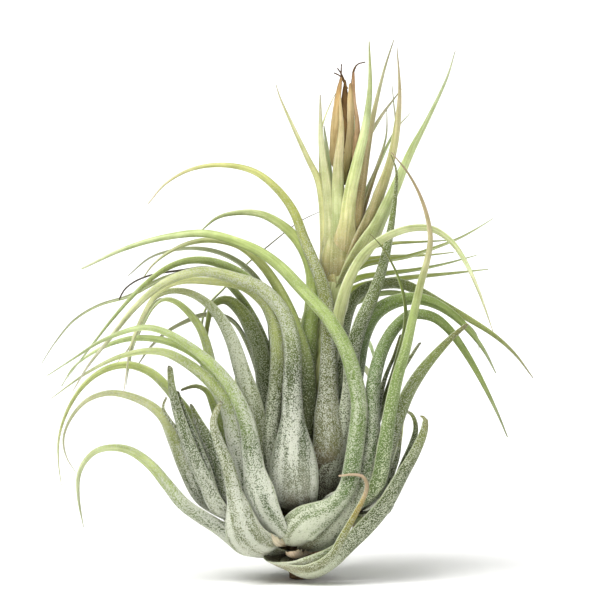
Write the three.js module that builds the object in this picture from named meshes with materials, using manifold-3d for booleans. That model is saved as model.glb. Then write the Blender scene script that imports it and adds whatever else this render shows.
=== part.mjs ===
// Air plant: a bare rosette of channelled leaves round a short stem, with a leafy flower spike.
// Millimetres, +Z up. The front of the plant faces -Y and most leaf tips sweep to -X.
// The origin is the middle of the flat scar under the stem, where the plant rests.
import * as THREE from "three";
import { mergeVertices } from "three/addons/utils/BufferGeometryUtils.js";
import Module from "manifold-3d";

const wasm = await Module();
wasm.setup();

// ---- driving dimensions ----
const LEAN = THREE.MathUtils.degToRad(5); // the plant was measured upright, and leans back by this
const GAP = 0.3; // clearance between neighbouring pieces
const EDGE = 0.6; // thickness of a leaf at its margins
const TIP_WIDTH = 1.0; // width of a pointed leaf at its very tip
const BLUNT = 1.15; // a blade narrows slowly at first, by this power
const SCAR_RADIUS = 3.6; // flat scar under the stem
const STEM_RADIUS = 8; // stem where the outer leaves leave it
const STEM_TOP_RADIUS = 5;
const STEM_HEIGHT = 34;
const STEM_PROFILE = [ // [radius, height] from the scar up
  [SCAR_RADIUS, 0],
  [SCAR_RADIUS + 0.3, 2],
  [STEM_RADIUS, 6.5],
  [STEM_RADIUS, 18],
  [STEM_TOP_RADIUS, STEM_HEIGHT - 1],
];
const LAYER_DROP = 3; // each layer of leaves leaves the stem this much lower than the one inside it
const LAYER_SWELL = 1.6; // and bulges out this much further
const INNER_ROOT_HEIGHT = 33;
const INNER_BULGE = 7;
const ROOT_RADIUS = 3; // where a leaf's midrib starts inside the stem
const ROOT_MIDDLE = { share: 0.6, out: 2, rise: 1 }; // halfway it is this share of the bulge and more out
const ROOT_RISE = 8; // how far a leaf rises while it bulges
const SHEATH_LENGTH = 2.6; // length of a leaf's sheath, in sheath widths
const SHEATH_SHARE = 0.6; // but no more than this share of the leaf
const SHEATH_WIDEST = 0.42; // where along the sheath it is widest
const ROOT_SHARE = 0.6; // width of the root, in sheath widths
const LEAST_ROOT = 0.25; // no leaf is narrower than this at its root, in sheath widths
const STATION_SPACING = 15; // mean distance between the sections of a blade
const MOST_STATIONS = 8; // most sections between the sheath and the tip
const BEND_WEIGHT = 0.5; // bends draw the sections of a blade together
const FACE = 25; // a leaf turns its outer face this far to the front, in degrees
const FACE_RAMP = 0.3; // share of the leaf over which it makes that turn
const HALF_DEPTH = 0.22; // a rib line runs through the middle of the channel, this many widths off its back
const CURVE_SAMPLES = 120;
const SHEATH_STATIONS = [0, 0.3, 0.62]; // where a sheath has its sections, as shares of its length
const FEWEST_STATIONS = 3;
const WIDE_SHEATH = 8; // a sheath wider than this has five points on its outer side, not three
const NARROW = { from: 1.2, to: 4 }; // a leaf of the first width is a solid rib, of the second a channel
const BRACT_STATIONS = 5;
const SCALE_STATIONS = 3;
const SCALE_NECK = 1.5; // length of a scale's sheath, in sheath widths
const STEM_SIDES = 12;
const BULB_SEGMENTS = [8, 5];
const GROUND_SIZE = [400, 400, 40];
const WELD = 1e-4; // points closer than this are one
const ROUNDING = 1e-9; // slack for sums that should come out whole

// how far a leaf curls round its own midrib, in degrees, from its root to its tip
const CURL = { root: 50, sheath: 84, neck: 160, tip: 120 };
const THICK = { root: 1.6, sheath: 1.3, tip: 0.7 };

const TONES = {
  silver: { color: 0xa9b39c, roughness: 0.85 },
  green: { color: 0x93a874, roughness: 0.75 },
  lime: { color: 0xa6bb62, roughness: 0.65 },
  olive: { color: 0x6f7b45, roughness: 0.7 },
  bract: { color: 0xc5cf94, roughness: 0.6 },
  dry: { color: 0x9a7443, roughness: 0.9 },
  stem: { color: 0x6b5232, roughness: 0.95 },
};

// ---- the leaves ----
// Each leaf: azimuth at which it leaves the stem (degrees, 0 = +X, -90 = front), layer (0 = innermost),
// widths of its sheath and blade, tone, and "rib", the line of its midrib from the top of its root to the
// tip as [x, depth, height], with depth negative towards the front.
// Some also give: tip, its width at the tip; blunt, how late the blade narrows (1.15 for most);
// neck, its sheath's length in sheath widths; stations, its sections above the sheath;
// face, how far it turns its outer face to the front; turned, the share of the leaf by which it has;
// widest, where its sheath is widest, as a share of it; root, how wide its root is against the sheath
// (below 0, it swells late); free, a rib that starts at the stem by itself.
const LEAVES = [
  // front, from the lowest out
  {
    name: "leaf_front_lowest", layer: 9.4, sheath: 13.5, blade: 7.4, tone: "green", tip: 2,
    blunt: 2.6, neck: 2.6, stations: 6, face: 50, free: true, turned: 0.2, root: 0.85, widest: 0.36,
    rib: [
      [-7, -6, 7.2], [-5, -12.5, 4.7], [2, -15.5, 3.6], [9, -17.8, 6], [15, -19.2, 10.4],
      [21.8, -19, 16.5], [28.6, -17.5, 24.6], [34.5, -16, 35.2], [39, -15, 43.3], [41.5, -14, 49.5],
      [41.6, -13, 53.4], [39.8, -12.5, 54],
    ],
  },
  {
    name: "leaf_front_old", layer: 9.8, sheath: 8, blade: 4.8, tone: "green", free: true, neck: 2,
    face: 40, tip: 0.8, blunt: 0.85, stations: 7,
    rib: [
      [-4, -10, 6.2], [-2, -16, 4.3], [2.5, -20.5, 3.2], [7.5, -22.6, 5], [11.6, -24.2, 9],
      [13.9, -25, 13.6], [16.7, -25.5, 18.8], [19, -25.5, 23], [21.4, -25, 27.7], [22.3, -25, 31.6],
      [20.8, -25, 34.4], [17.3, -25, 35], [12.7, -24.5, 34.5],
    ],
  },
  {
    name: "leaf_left_lowest", layer: 8.6, sheath: 14, blade: 6.6, tone: "silver", stations: 7,
    free: true, blunt: 1.3, face: 30, neck: 2.4, widest: 0.5, turned: 0.2,
    rib: [
      [-2, -1, 8.5], [-9, -7, 8], [-18.3, -11, 12], [-26, -13, 16], [-33.3, -14, 20.4],
      [-39.4, -15, 25], [-44.2, -15, 31], [-50, -16, 38], [-56.7, -16, 42.6], [-62.7, -17, 43.6],
      [-67.7, -17, 42.4], [-71.3, -17, 39], [-73.3, -17, 34.3], [-73.3, -17, 26.7],
      [-71.7, -17, 17.3],
    ],
  },
  {
    name: "leaf_front_short", layer: 9.1, sheath: 14.5, blade: 5, tone: "silver", tip: 1.6,
    neck: 2.9, free: true, root: 0.8, widest: 0.45, face: 45, turned: 0.2,
    rib: [
      [-4, -5, 13], [-9.5, -12.5, 11.6], [-14.6, -19, 12.2], [-17.9, -22.8, 15.4],
      [-19.6, -24, 19.8], [-20.6, -24.5, 24.2], [-21.8, -24.5, 28.6], [-22.8, -24.5, 33.2],
      [-24.5, -24.5, 39.3], [-27.2, -24, 46], [-28.7, -23, 52.7], [-26, -21, 59.3],
    ],
  },
  {
    name: "leaf_right_long", layer: 8.3, sheath: 11, blade: 6.4, tone: "green", blunt: 1.4,
    free: true, neck: 3, widest: 0.5, face: 35, turned: 0.15,
    rib: [
      [3, -4, 9], [4, -13, 10], [8.8, -18, 14.8], [13.4, -19.5, 20], [17.8, -19.3, 26.4],
      [22, -18, 34.6], [24.3, -17, 46], [24.3, -16.5, 61], [25.7, -15.5, 70], [28.3, -13.5, 77.7],
      [32.3, -12, 84], [37.3, -11.5, 87.7], [44, -11, 87], [49, -10, 83.3], [53.3, -10, 77.7],
      [57.7, -9, 70.7], [62, -9, 62.7], [66, -9, 54.3], [69, -9, 47],
    ],
  },
  {
    name: "leaf_front_arch", layer: 8.5, sheath: 12.5, blade: 6, tone: "green", blunt: 1.5,
    tip: 0.6, free: true, neck: 3, widest: 0.52, root: 0.7, face: 50, turned: 0.12,
    rib: [
      [1.5, -5, 12], [-1.6, -15, 12], [-1.6, -20, 15.4], [1.6, -22.4, 18.8], [6, -23, 21.2],
      [10.5, -23.2, 24], [14, -23, 27.6], [16.2, -22.8, 32], [17.3, -22.3, 37.5], [18.7, -21, 47],
      [19.6, -19.5, 58], [17.3, -18.5, 70], [14.3, -18, 78.3], [9.3, -17, 86.7], [4, -16, 92.7],
      [-1, -15, 98], [-5.7, -14, 103], [-12.7, -13, 108.3], [-21.7, -12, 112.3],
      [-31.7, -11, 114.8], [-45, -10, 113.5], [-58.3, -9, 109.7], [-72.7, -8, 103],
    ],
  },
  {
    name: "leaf_front_hood", azimuth: -38, layer: 5.6, sheath: 14, blade: 9, tone: "silver",
    tip: 1.8, blunt: 1.1,
    rib: [
      [24.5, -15, 29.5], [28.3, -16, 41], [32, -16, 52], [36.3, -16, 62], [41.5, -15, 70],
      [46.8, -14.5, 76.4], [51, -14.5, 80.8], [55.7, -14, 84.7],
    ],
  },
  {
    name: "leaf_left_b", azimuth: -145, layer: 7, sheath: 15, blade: 7, tone: "silver", blunt: 1.1,
    rib: [
      [-22.3, -16.5, 46], [-25, -18, 58], [-31.3, -20, 66.6], [-43.3, -23, 74.6],
      [-50.3, -25, 75.6], [-60.3, -27, 73.6], [-70.3, -29, 68.6], [-82.3, -31, 60],
    ],
  },
  {
    name: "leaf_left_j", azimuth: -168, layer: 7.8, sheath: 13, blade: 8.2, tone: "silver",
    blunt: 1.2,
    rib: [
      [-33, -9, 26.5], [-38.3, -10.5, 36], [-42.3, -12.5, 46], [-45.7, -16, 53.7],
      [-51.7, -17, 58.7], [-62.7, -19, 61.8], [-70.7, -20, 59.3], [-76, -21, 53.3],
      [-78.3, -21, 46.7], [-77.3, -21, 40.7], [-74, -21, 35.3],
    ],
  },
  {
    name: "leaf_left_a", layer: 8.2, sheath: 12.5, blade: 7.6, tone: "silver", blunt: 0.75,
    free: true, neck: 3.5, widest: 0.68, root: -0.4,
    rib: [
      [-1, -5, 14.5], [-3, -12, 13.5], [-6.7, -19, 14.5], [-9.7, -21.8, 19], [-12.1, -22.6, 24],
      [-13.6, -22.8, 28.7], [-15.2, -22.5, 34], [-16.4, -22.3, 40.7], [-18.3, -22.5, 52.7],
      [-24.7, -24, 66], [-36.7, -27, 77.3], [-50, -30, 83.4], [-65, -33, 79.3], [-73.3, -34, 74.2],
      [-83.3, -35, 67.7],
    ],
  },
  {
    name: "leaf_left_g", azimuth: -150, layer: 5.6, sheath: 12, blade: 6.4, tone: "green",
    rib: [
      [-22.7, -12.5, 52.7], [-26.5, -12.5, 63.5], [-31.7, -13, 71.6], [-37.5, -13.5, 76],
      [-46.7, -15, 79.3], [-56.7, -16, 79.6], [-66.7, -17, 76.2], [-75, -18, 70.3], [-79, -19, 64],
    ],
  },
  {
    name: "leaf_right_tall", azimuth: -52, layer: 7.1, sheath: 12, blade: 6.4, tone: "lime",
    blunt: 1.1,
    rib: [
      [25, -18, 29.3], [28.3, -19.5, 42.7], [30, -20.5, 54.3], [32.3, -21.5, 66], [35.3, -22, 76.7],
      [37.7, -22, 87.7], [40, -21.5, 97.7], [42.3, -20.5, 106], [43.3, -19.5, 112.7],
      [42.3, -18.5, 120], [39.7, -17, 127.7], [35.7, -15.5, 135], [30.3, -14, 141.7],
    ],
  },
  {
    name: "leaf_left_short", azimuth: -168, layer: 4.8, sheath: 10, blade: 8, tone: "olive",
    tip: 1.5,
    rib: [
      [-21.7, -7, 38], [-26.3, -8, 49.3], [-29, -8.5, 57.5], [-31.2, -9, 62.4], [-34.6, -9, 64],
      [-39.7, -9, 62.7],
    ],
  },
  {
    name: "leaf_left_e", azimuth: 178, layer: 5.2, sheath: 12, blade: 9.4, tone: "green",
    rib: [
      [-23, -4, 48], [-28, -5, 64], [-30.7, -6, 76], [-33.3, -7, 83.3], [-37.3, -8, 88.7],
      [-41.7, -9, 92.3], [-45.7, -10, 93], [-49.3, -11, 90], [-52.3, -12, 84.3], [-55.3, -13, 77.7],
      [-56.7, -13, 71], [-57.7, -14, 64.3],
    ],
  },
  {
    name: "leaf_left_i", azimuth: 174, layer: 6.6, sheath: 13, blade: 7.5, tone: "green",
    blunt: 1.2, face: 45,
    rib: [
      [-27, -5, 36], [-34, -8, 49.3], [-41, -11, 59.3], [-45, -12, 64.3], [-50, -13, 68.7],
      [-57.3, -14, 71], [-65, -15, 69.3], [-71.7, -17, 64.3], [-76.7, -18, 56.7],
      [-79.7, -19, 47.7], [-80, -19, 39.3], [-79, -19, 31],
    ],
  },
  {
    name: "leaf_right_r", azimuth: -5, layer: 5, sheath: 11, blade: 5, tone: "olive",
    rib: [
      [22, -2, 42], [28.3, -5, 59.3], [32.6, -10, 74], [35, -15, 85.3], [34.7, -16.5, 92.7],
      [32.7, -16.5, 100], [29.3, -17, 107], [26, -18, 111.7], [23, -19, 114.7],
    ],
  },
  {
    name: "leaf_left_m", azimuth: -160, layer: 4.5, sheath: 13, blade: 9.6, tone: "green",
    rib: [
      [-16.7, -11, 57.7], [-20, -11.5, 69.3], [-23, -12.5, 79.3], [-26.7, -13.5, 86.7],
      [-31, -14.5, 91.7], [-36.7, -15.5, 95], [-42.7, -16.5, 95.7], [-48.3, -17, 93.3],
      [-52.3, -18, 86.7], [-56, -19, 77.7], [-60.7, -20, 71.7],
    ],
  },
  {
    name: "leaf_right_d", azimuth: -10, layer: 4, sheath: 12, blade: 9.5, tone: "green", face: 60,
    turned: 0.25,
    rib: [
      [16, -5, 52.7], [19, -6, 71.5], [21, -6, 80.5], [24.7, -6, 87.5], [30.5, -5.5, 91.5],
      [38.3, -5, 93], [45, -5, 91.3], [51.7, -5, 87], [57, -5, 81.6], [61.4, -5, 75.6],
      [65.2, -5, 68.3],
    ],
  },
  {
    name: "leaf_front_narrow", azimuth: -135, layer: 3.8, sheath: 12, blade: 6.4, tone: "green",
    rib: [
      [-10.7, -12, 46], [-8.3, -11.5, 65], [-8, -11.5, 78], [-10.3, -12.5, 89],
      [-18.3, -14.5, 96.7], [-29.3, -17, 98.7], [-40, -19.5, 98.6], [-46.7, -21.5, 95.3],
      [-51.7, -23.5, 87.7], [-55.7, -24.5, 77.7], [-58.3, -25.5, 62],
    ],
  },
  {
    name: "leaf_front_centre", layer: 5.1, sheath: 16.5, blade: 7, tone: "silver", blunt: 0.9,
    free: true, neck: 2.9, widest: 0.5, root: 0.42,
    rib: [
      [0, -4, 25], [-1, -11, 23], [-1.8, -16.5, 24.2], [-2, -19, 29], [-2.2, -19.5, 35.5],
      [-2.4, -19, 44], [-2.6, -18, 53], [-2.7, -17, 62.7], [-2.7, -16, 77.7], [-5.3, -16, 87.7],
      [-12.3, -17, 96], [-21.7, -19, 99.9], [-32.5, -21.5, 102], [-43.5, -24, 99],
      [-53.5, -27, 91.2], [-62.5, -29, 80.2], [-70, -30, 70.8], [-75, -31, 62.5],
    ],
  },
  {
    name: "leaf_right_b", azimuth: -40, layer: 3.5, sheath: 12, blade: 7, tone: "green", blunt: 1.7,
    rib: [
      [15, -10, 49.3], [17.3, -10, 64.3], [17.8, -10, 74.3], [20.5, -10, 84.3], [24.3, -10, 93.3],
      [27.2, -10, 102], [29.2, -9, 110.3], [30.8, -8, 120], [31.9, -7.2, 129.3], [32, -6.6, 136],
      [30.3, -6, 141],
    ],
  },
  {
    name: "leaf_right_low", azimuth: 20, layer: 3.3, sheath: 11, blade: 9.5, tone: "olive",
    face: 65, turned: 0.25,
    rib: [
      [13, 6, 52], [14, 7, 70], [15, 7.5, 84], [18.7, 8, 93.6], [24.6, 9, 97.2], [33.3, 10, 98],
      [40.7, 10, 95], [48.3, 10, 90.7], [56.7, 10, 86], [65, 10, 80.7], [71.7, 10, 74.7],
      [78, 10, 66.5],
    ],
  },
  {
    name: "leaf_left_dark", azimuth: 165, layer: 3, sheath: 12, blade: 10.2, tone: "olive",
    tip: 1.6, blunt: 1.3, face: 62, turned: 0.25,
    rib: [
      [-11.7, 3, 59.3], [-13, 2, 71], [-16, 1, 81], [-20, 0, 88.7], [-24.7, -1, 92.6],
      [-29, -1.5, 91], [-31, -1.5, 84], [-31.7, -1.5, 76], [-33.5, -1.5, 67.7],
    ],
  },
  {
    name: "leaf_left_lime", azimuth: -140, layer: 2.2, sheath: 10, blade: 6.6, tone: "lime",
    rib: [
      [-5, -5, 59.3], [-6, -5.5, 75], [-11.8, -8, 91.6], [-18.3, -10, 99.9], [-28.3, -13, 105],
      [-36.7, -15.5, 105.6], [-44.3, -18, 103], [-53.3, -20.5, 96], [-62.3, -22.5, 86],
      [-69.3, -24, 77], [-79, -25, 64.3],
    ],
  },
  {
    name: "leaf_front_tall", azimuth: -75, layer: 2, sheath: 11.5, blade: 6.5, tone: "silver",
    neck: 4.2, blunt: 0.8, widest: 0.5,
    rib: [
      [9.7, -12, 42.7], [9.3, -12, 56], [9.7, -11, 69.3], [9.7, -10, 81], [9, -9.5, 91],
      [7, -9, 99.3], [4.3, -8, 106], [1.3, -7, 113.3], [-2, -6, 122], [-7.3, -5, 129.3],
      [-15, -4, 135.3], [-25, -3, 137.6], [-36, -2, 136.3], [-45, -1, 131.3], [-50.7, 0, 124.7],
    ],
  },
  {
    name: "leaf_left_thin", azimuth: 150, layer: 2, sheath: 10, blade: 6.5, tone: "green",
    blunt: 1.2, face: 60, turned: 0.25,
    rib: [
      [-8, 4, 60], [-12.5, 4, 79.3], [-19.5, 2.5, 92.7], [-26, 0, 99.3], [-33.3, -3.5, 102.2],
      [-45, -6, 100], [-56.7, -8, 94], [-66.7, -9, 91], [-75, -10, 86], [-81.7, -11, 78],
      [-85.7, -12, 71.7],
    ],
  },
  {
    name: "leaf_left_grey", azimuth: 130, layer: 1.4, sheath: 9, blade: 5.6, tone: "green",
    rib: [
      [-6, 5, 62], [-9, 3, 77.7], [-10.7, 1, 91], [-14, 2, 98.7], [-19.3, 2, 104.3], [-26, 2, 108],
      [-33.3, 1, 109.7], [-41.7, 1, 109.3], [-50, 0, 106.7], [-57.3, -1, 100.7],
    ],
  },
  {
    name: "leaf_right_arch", azimuth: -30, layer: 1.5, sheath: 8.5, blade: 6.2, tone: "bract",
    blunt: 1.8,
    rib: [
      [9, -4, 62], [11.5, -6, 76], [13, -8, 86], [14.7, -9.5, 93.7], [17.3, -11, 101],
      [21.7, -13, 108.3], [28.3, -14.3, 113.3], [36.7, -14.3, 116.3], [44, -14.3, 116],
      [50, -15, 112], [54.7, -16, 105.3], [58.7, -17, 96.7], [61.7, -17, 88.7], [64, -18, 82],
    ],
  },
  {
    name: "leaf_front_inner", azimuth: -110, layer: 1, sheath: 10, blade: 5.8, tone: "lime",
    rib: [
      [2.2, -7, 52], [2.7, -7, 64.3], [1.7, -8, 72.7], [-0.7, -8.5, 81], [-4, -9, 90],
      [-8.3, -9, 98.3], [-13.3, -9, 105], [-20, -8.5, 110.5], [-28.3, -8, 112.5],
      [-36.7, -8, 111.6], [-44, -8, 108.3], [-49.3, -8, 104], [-52.3, -8, 99.7],
    ],
  },
  {
    name: "leaf_left_top", azimuth: -150, layer: 0.6, sheath: 10, blade: 7.4, tone: "lime",
    face: 55, turned: 0.25, blunt: 1.4,
    rib: [
      [0, -3, 60], [2.5, -4, 78], [4, -4, 92.7], [4, -3.5, 101], [2, -3, 107.7], [-1.3, -2.5, 113],
      [-6.7, -2, 118], [-13.3, -1.5, 121.3], [-21, -1.5, 121.7], [-27.7, -1.5, 120],
      [-33, -1.5, 115.7],
    ],
  },
  // right side, behind
  {
    name: "leaf_right_c", azimuth: 35, layer: 4.5, sheath: 10, blade: 6.5, tone: "olive", face: 60,
    blunt: 1.4,
    rib: [
      [14, 11, 52], [13.5, 12, 69.3], [15, 13.5, 88.5], [23.3, 14.5, 93.7], [31.7, 15, 95],
      [40, 15, 92.7], [48.3, 15, 88.7], [55, 15, 85.3], [59.3, 14, 80.7], [60, 13, 74],
    ],
  },
  {
    name: "leaf_right_h", azimuth: 50, layer: 2, sheath: 9, blade: 5.6, tone: "lime", blunt: 1.5,
    rib: [
      [7, 8, 62], [10, 10, 80], [13, 12, 96], [20, 13, 103.6], [28.3, 14, 105.8], [36.7, 14, 107.3],
      [45, 14, 110], [53.3, 13, 113.3], [60, 13, 117], [64.7, 12, 120],
    ],
  },
  {
    name: "leaf_right_h2", azimuth: 65, layer: 3.3, sheath: 9, blade: 5, tone: "lime", blunt: 1.5,
    rib: [
      [7, 14, 60], [8.3, 16, 80], [13.3, 17.5, 95.7], [19.3, 18, 99.7], [28.3, 18.5, 101.4],
      [38.3, 18.5, 102.7], [48.3, 18, 104.7], [59.3, 17, 107.7],
    ],
  },
  {
    name: "leaf_right_h3", azimuth: 78, layer: 5, sheath: 9, blade: 5, tone: "green", blunt: 1.5,
    rib: [
      [5, 19, 58], [6.7, 21, 78], [12.7, 23, 92.5], [20, 23.5, 97], [28.3, 23.5, 98.8],
      [38.3, 23, 100.3], [50, 22.5, 101.5], [63.3, 21, 103],
    ],
  },
  {
    name: "leaf_right_h4", azimuth: 92, layer: 4.2, sheath: 8, blade: 3.8, tone: "green",
    blunt: 1.5,
    rib: [
      [1, 16, 60], [3, 19, 80], [9, 22, 98], [17, 23.5, 105], [27, 24, 107], [43.3, 23.5, 107.8],
      [51.7, 23, 108.7],
    ],
  },
  {
    name: "leaf_right_h5", azimuth: 100, layer: 6, sheath: 9, blade: 4.4, tone: "green", blunt: 1.5,
    rib: [
      [-2, 23, 55], [0, 27, 78], [6, 29, 97], [14, 30, 106.5], [22.7, 30, 110.2],
      [31.7, 29.5, 111.8], [41.7, 28.5, 112.3], [49.3, 27, 112.7],
    ],
  },
  // left side, behind
  {
    name: "leaf_left_thread", azimuth: 150, layer: 6.5, sheath: 8, blade: 3, tone: "green",
    rib: [
      [-22, 11, 48], [-28, 8, 66], [-32.6, 6.5, 80], [-31.7, 7, 89.3], [-25, 8, 97],
      [-19, 9, 103.6], [-10.7, 10, 110.7], [0, 11, 119], [6.7, 12, 122.3],
    ],
  },
  {
    name: "leaf_left_side", azimuth: 140, layer: 4, sheath: 9, blade: 6, tone: "green", face: 50,
    rib: [
      [-12, 11, 58], [-16.7, 9, 76], [-23, 7, 86], [-31.7, 4.5, 87.6], [-38.3, 2.5, 85.3],
      [-44.3, 0.5, 82], [-50, -2, 76.7], [-54, -4, 71],
    ],
  },
  {
    name: "leaf_left_dry_tip", azimuth: 170, layer: 1.8, sheath: 8, blade: 3.4, tone: "olive",
    blunt: 1.6, tip: 0.9,
    rib: [
      [-5.5, 1, 60], [-8.3, -1.5, 78], [-14, -4, 93], [-24, -5, 101.4], [-31, -6, 103.6],
      [-39.3, -8, 102.6], [-49.3, -11, 101], [-55, -13, 98.7], [-58.3, -14, 96], [-60, -15, 92.7],
    ],
  },
  // the back, which the front leaves hide
  {
    name: "leaf_back_a", azimuth: 90, layer: 8, sheath: 14, blade: 7, tone: "silver",
    rib: [[0, 24, 38], [1, 28, 53], [2, 34, 67], [3, 43, 75], [4, 53, 75], [5, 61, 67]],
  },
  {
    name: "leaf_back_b", azimuth: 122, layer: 7, sheath: 13, blade: 6.5, tone: "silver",
    rib: [
      [-14, 20, 40], [-16, 24, 54], [-18, 31, 65], [-20, 41, 69], [-21.5, 50, 65], [-22, 57, 57],
    ],
  },
  {
    name: "leaf_back_c", azimuth: 60, layer: 7, sheath: 13, blade: 6.5, tone: "silver",
    rib: [[12, 20, 40], [15, 25, 55], [18, 33, 66], [21, 43, 70], [24, 53, 66], [26, 60, 57]],
  },
  {
    name: "leaf_back_d", azimuth: 105, layer: 5.4, sheath: 12, blade: 6, tone: "green",
    rib: [[-4, 15, 50], [-4, 19, 68], [-3, 26, 80], [-1, 36, 86], [1, 46, 85], [2, 55, 78]],
  },
  {
    name: "leaf_back_e", azimuth: 142, layer: 5.6, sheath: 12, blade: 6, tone: "green",
    rib: [[-16, 14, 44], [-15, 18, 58], [-12, 25, 70], [-9, 34, 76], [-8, 44, 76], [-8, 52, 69]],
  },
  {
    name: "leaf_back_f", azimuth: 38, layer: 5.8, sheath: 12, blade: 6, tone: "green",
    rib: [[16, 13, 44], [18, 18, 60], [20, 26, 72], [22, 35, 78], [24, 45, 77], [26, 53, 69]],
  },
  {
    name: "leaf_back_g", azimuth: 165, layer: 8.4, sheath: 13, blade: 7, tone: "silver",
    rib: [[-29, 9, 26], [-34, 14, 39], [-36, 21, 49], [-37, 31, 53], [-37, 41, 50], [-36, 48, 43]],
  },
  {
    name: "leaf_back_h", azimuth: 12, layer: 8, sheath: 13, blade: 7, tone: "silver",
    rib: [[27, 8, 28], [32, 12, 41], [34, 19, 53], [34, 29, 59], [33, 39, 57], [32, 47, 49]],
  },
  {
    name: "leaf_back_i", azimuth: 112, layer: 9.4, sheath: 13, blade: 7, tone: "silver",
    rib: [[-10, 28, 22], [-13, 36, 32], [-16, 45, 38], [-18, 54, 37], [-19, 61, 31]],
  },
  {
    name: "leaf_back_j", azimuth: 66, layer: 9.4, sheath: 13, blade: 7, tone: "silver",
    rib: [[12, 27, 23], [15, 35, 35], [17, 44, 42], [18, 54, 42], [19, 61, 36]],
  },
];

// ---- side shoots: short leaves that share one small bulb, fused into one body each ----
const SHOOTS = [
  {
    name: "shoot_left", bulb: [-17.5, -10, 20.5], bulbRadius: 3.4, layer: 7.5, tone: "silver",
    leaves: [
      {
        sheath: 9, blade: 6.4, tip: 2.4, blunt: 1.5,
        rib: [
          [-26, -16.5, 22], [-32, -19, 32.7], [-37, -20, 44.3], [-40.6, -20.5, 55.3],
          [-42.5, -20.5, 63.3], [-43.2, -20.5, 71],
        ],
      },
      {
        sheath: 9, blade: 7.4, tip: 1.2, blunt: 2,
        rib: [
          [-24, -13, 25], [-26.5, -14.5, 34], [-29.8, -15.5, 43], [-33.3, -16, 51],
          [-36.3, -16, 58.3],
        ],
      },
      {
        sheath: 6, blade: 4, tip: 1.4,
        rib: [
          [-26, -16, 23], [-31.5, -17.5, 38], [-36.2, -18, 50], [-38.9, -18, 57.7],
          [-40.7, -18, 62.6],
        ],
      },
      {
        sheath: 5, blade: 3, tip: 1.2,
        rib: [
          [-27, -15, 22], [-34, -17, 38], [-39.5, -18.5, 48], [-43.5, -19.5, 53.5],
          [-45.4, -19.5, 57.2], [-44.2, -19.5, 60.6],
        ],
      },
    ],
  },
  {
    name: "shoot_right", bulb: [18.5, -2.5, 20.5], bulbRadius: 3.4, layer: 6.7, tone: "silver",
    leaves: [
      {
        sheath: 7, blade: 5, tip: 1.4,
        rib: [
          [27.5, -8, 22], [31.7, -10, 29.7], [35, -10.5, 38], [37.6, -10.5, 45], [38.6, -10, 50.5],
          [37.3, -9.5, 54.6], [35, -9, 56],
        ],
      },
      {
        sheath: 6, blade: 4, tip: 1.4,
        rib: [[26, -6, 23], [29.5, -6.5, 32], [32.6, -6.5, 41], [33.6, -6, 49.3]],
      },
      {
        sheath: 7, blade: 4.2, tip: 1.2,
        rib: [
          [24, -5, 28], [24.5, -6.5, 42], [26, -8, 56], [28.3, -8.5, 66.7], [31.3, -8.5, 74],
          [33.6, -8, 81.3],
        ],
      },
      {
        sheath: 6, blade: 4, tip: 1.8, blunt: 2.5,
        rib: [
          [26.5, -4, 28], [28, -5, 42], [29.6, -9, 56], [33.3, -11, 67.7], [37.3, -12, 74.6],
          [40, -12, 78.7],
        ],
      },
    ],
  },
];

// ---- flower spike ----
const SCAPE = [[2.4, -0.5, 36], [4.6, 0, 55], [8.5, 0, 78], [12.5, 0, 98], [14.3, 0, 114], [15, 0, 128]];
const SCAPE_RADII = [3.4, 2.6, 3, 4.8, 4.6, 1.6];
const SCAPE_SIDES = 8;

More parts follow.
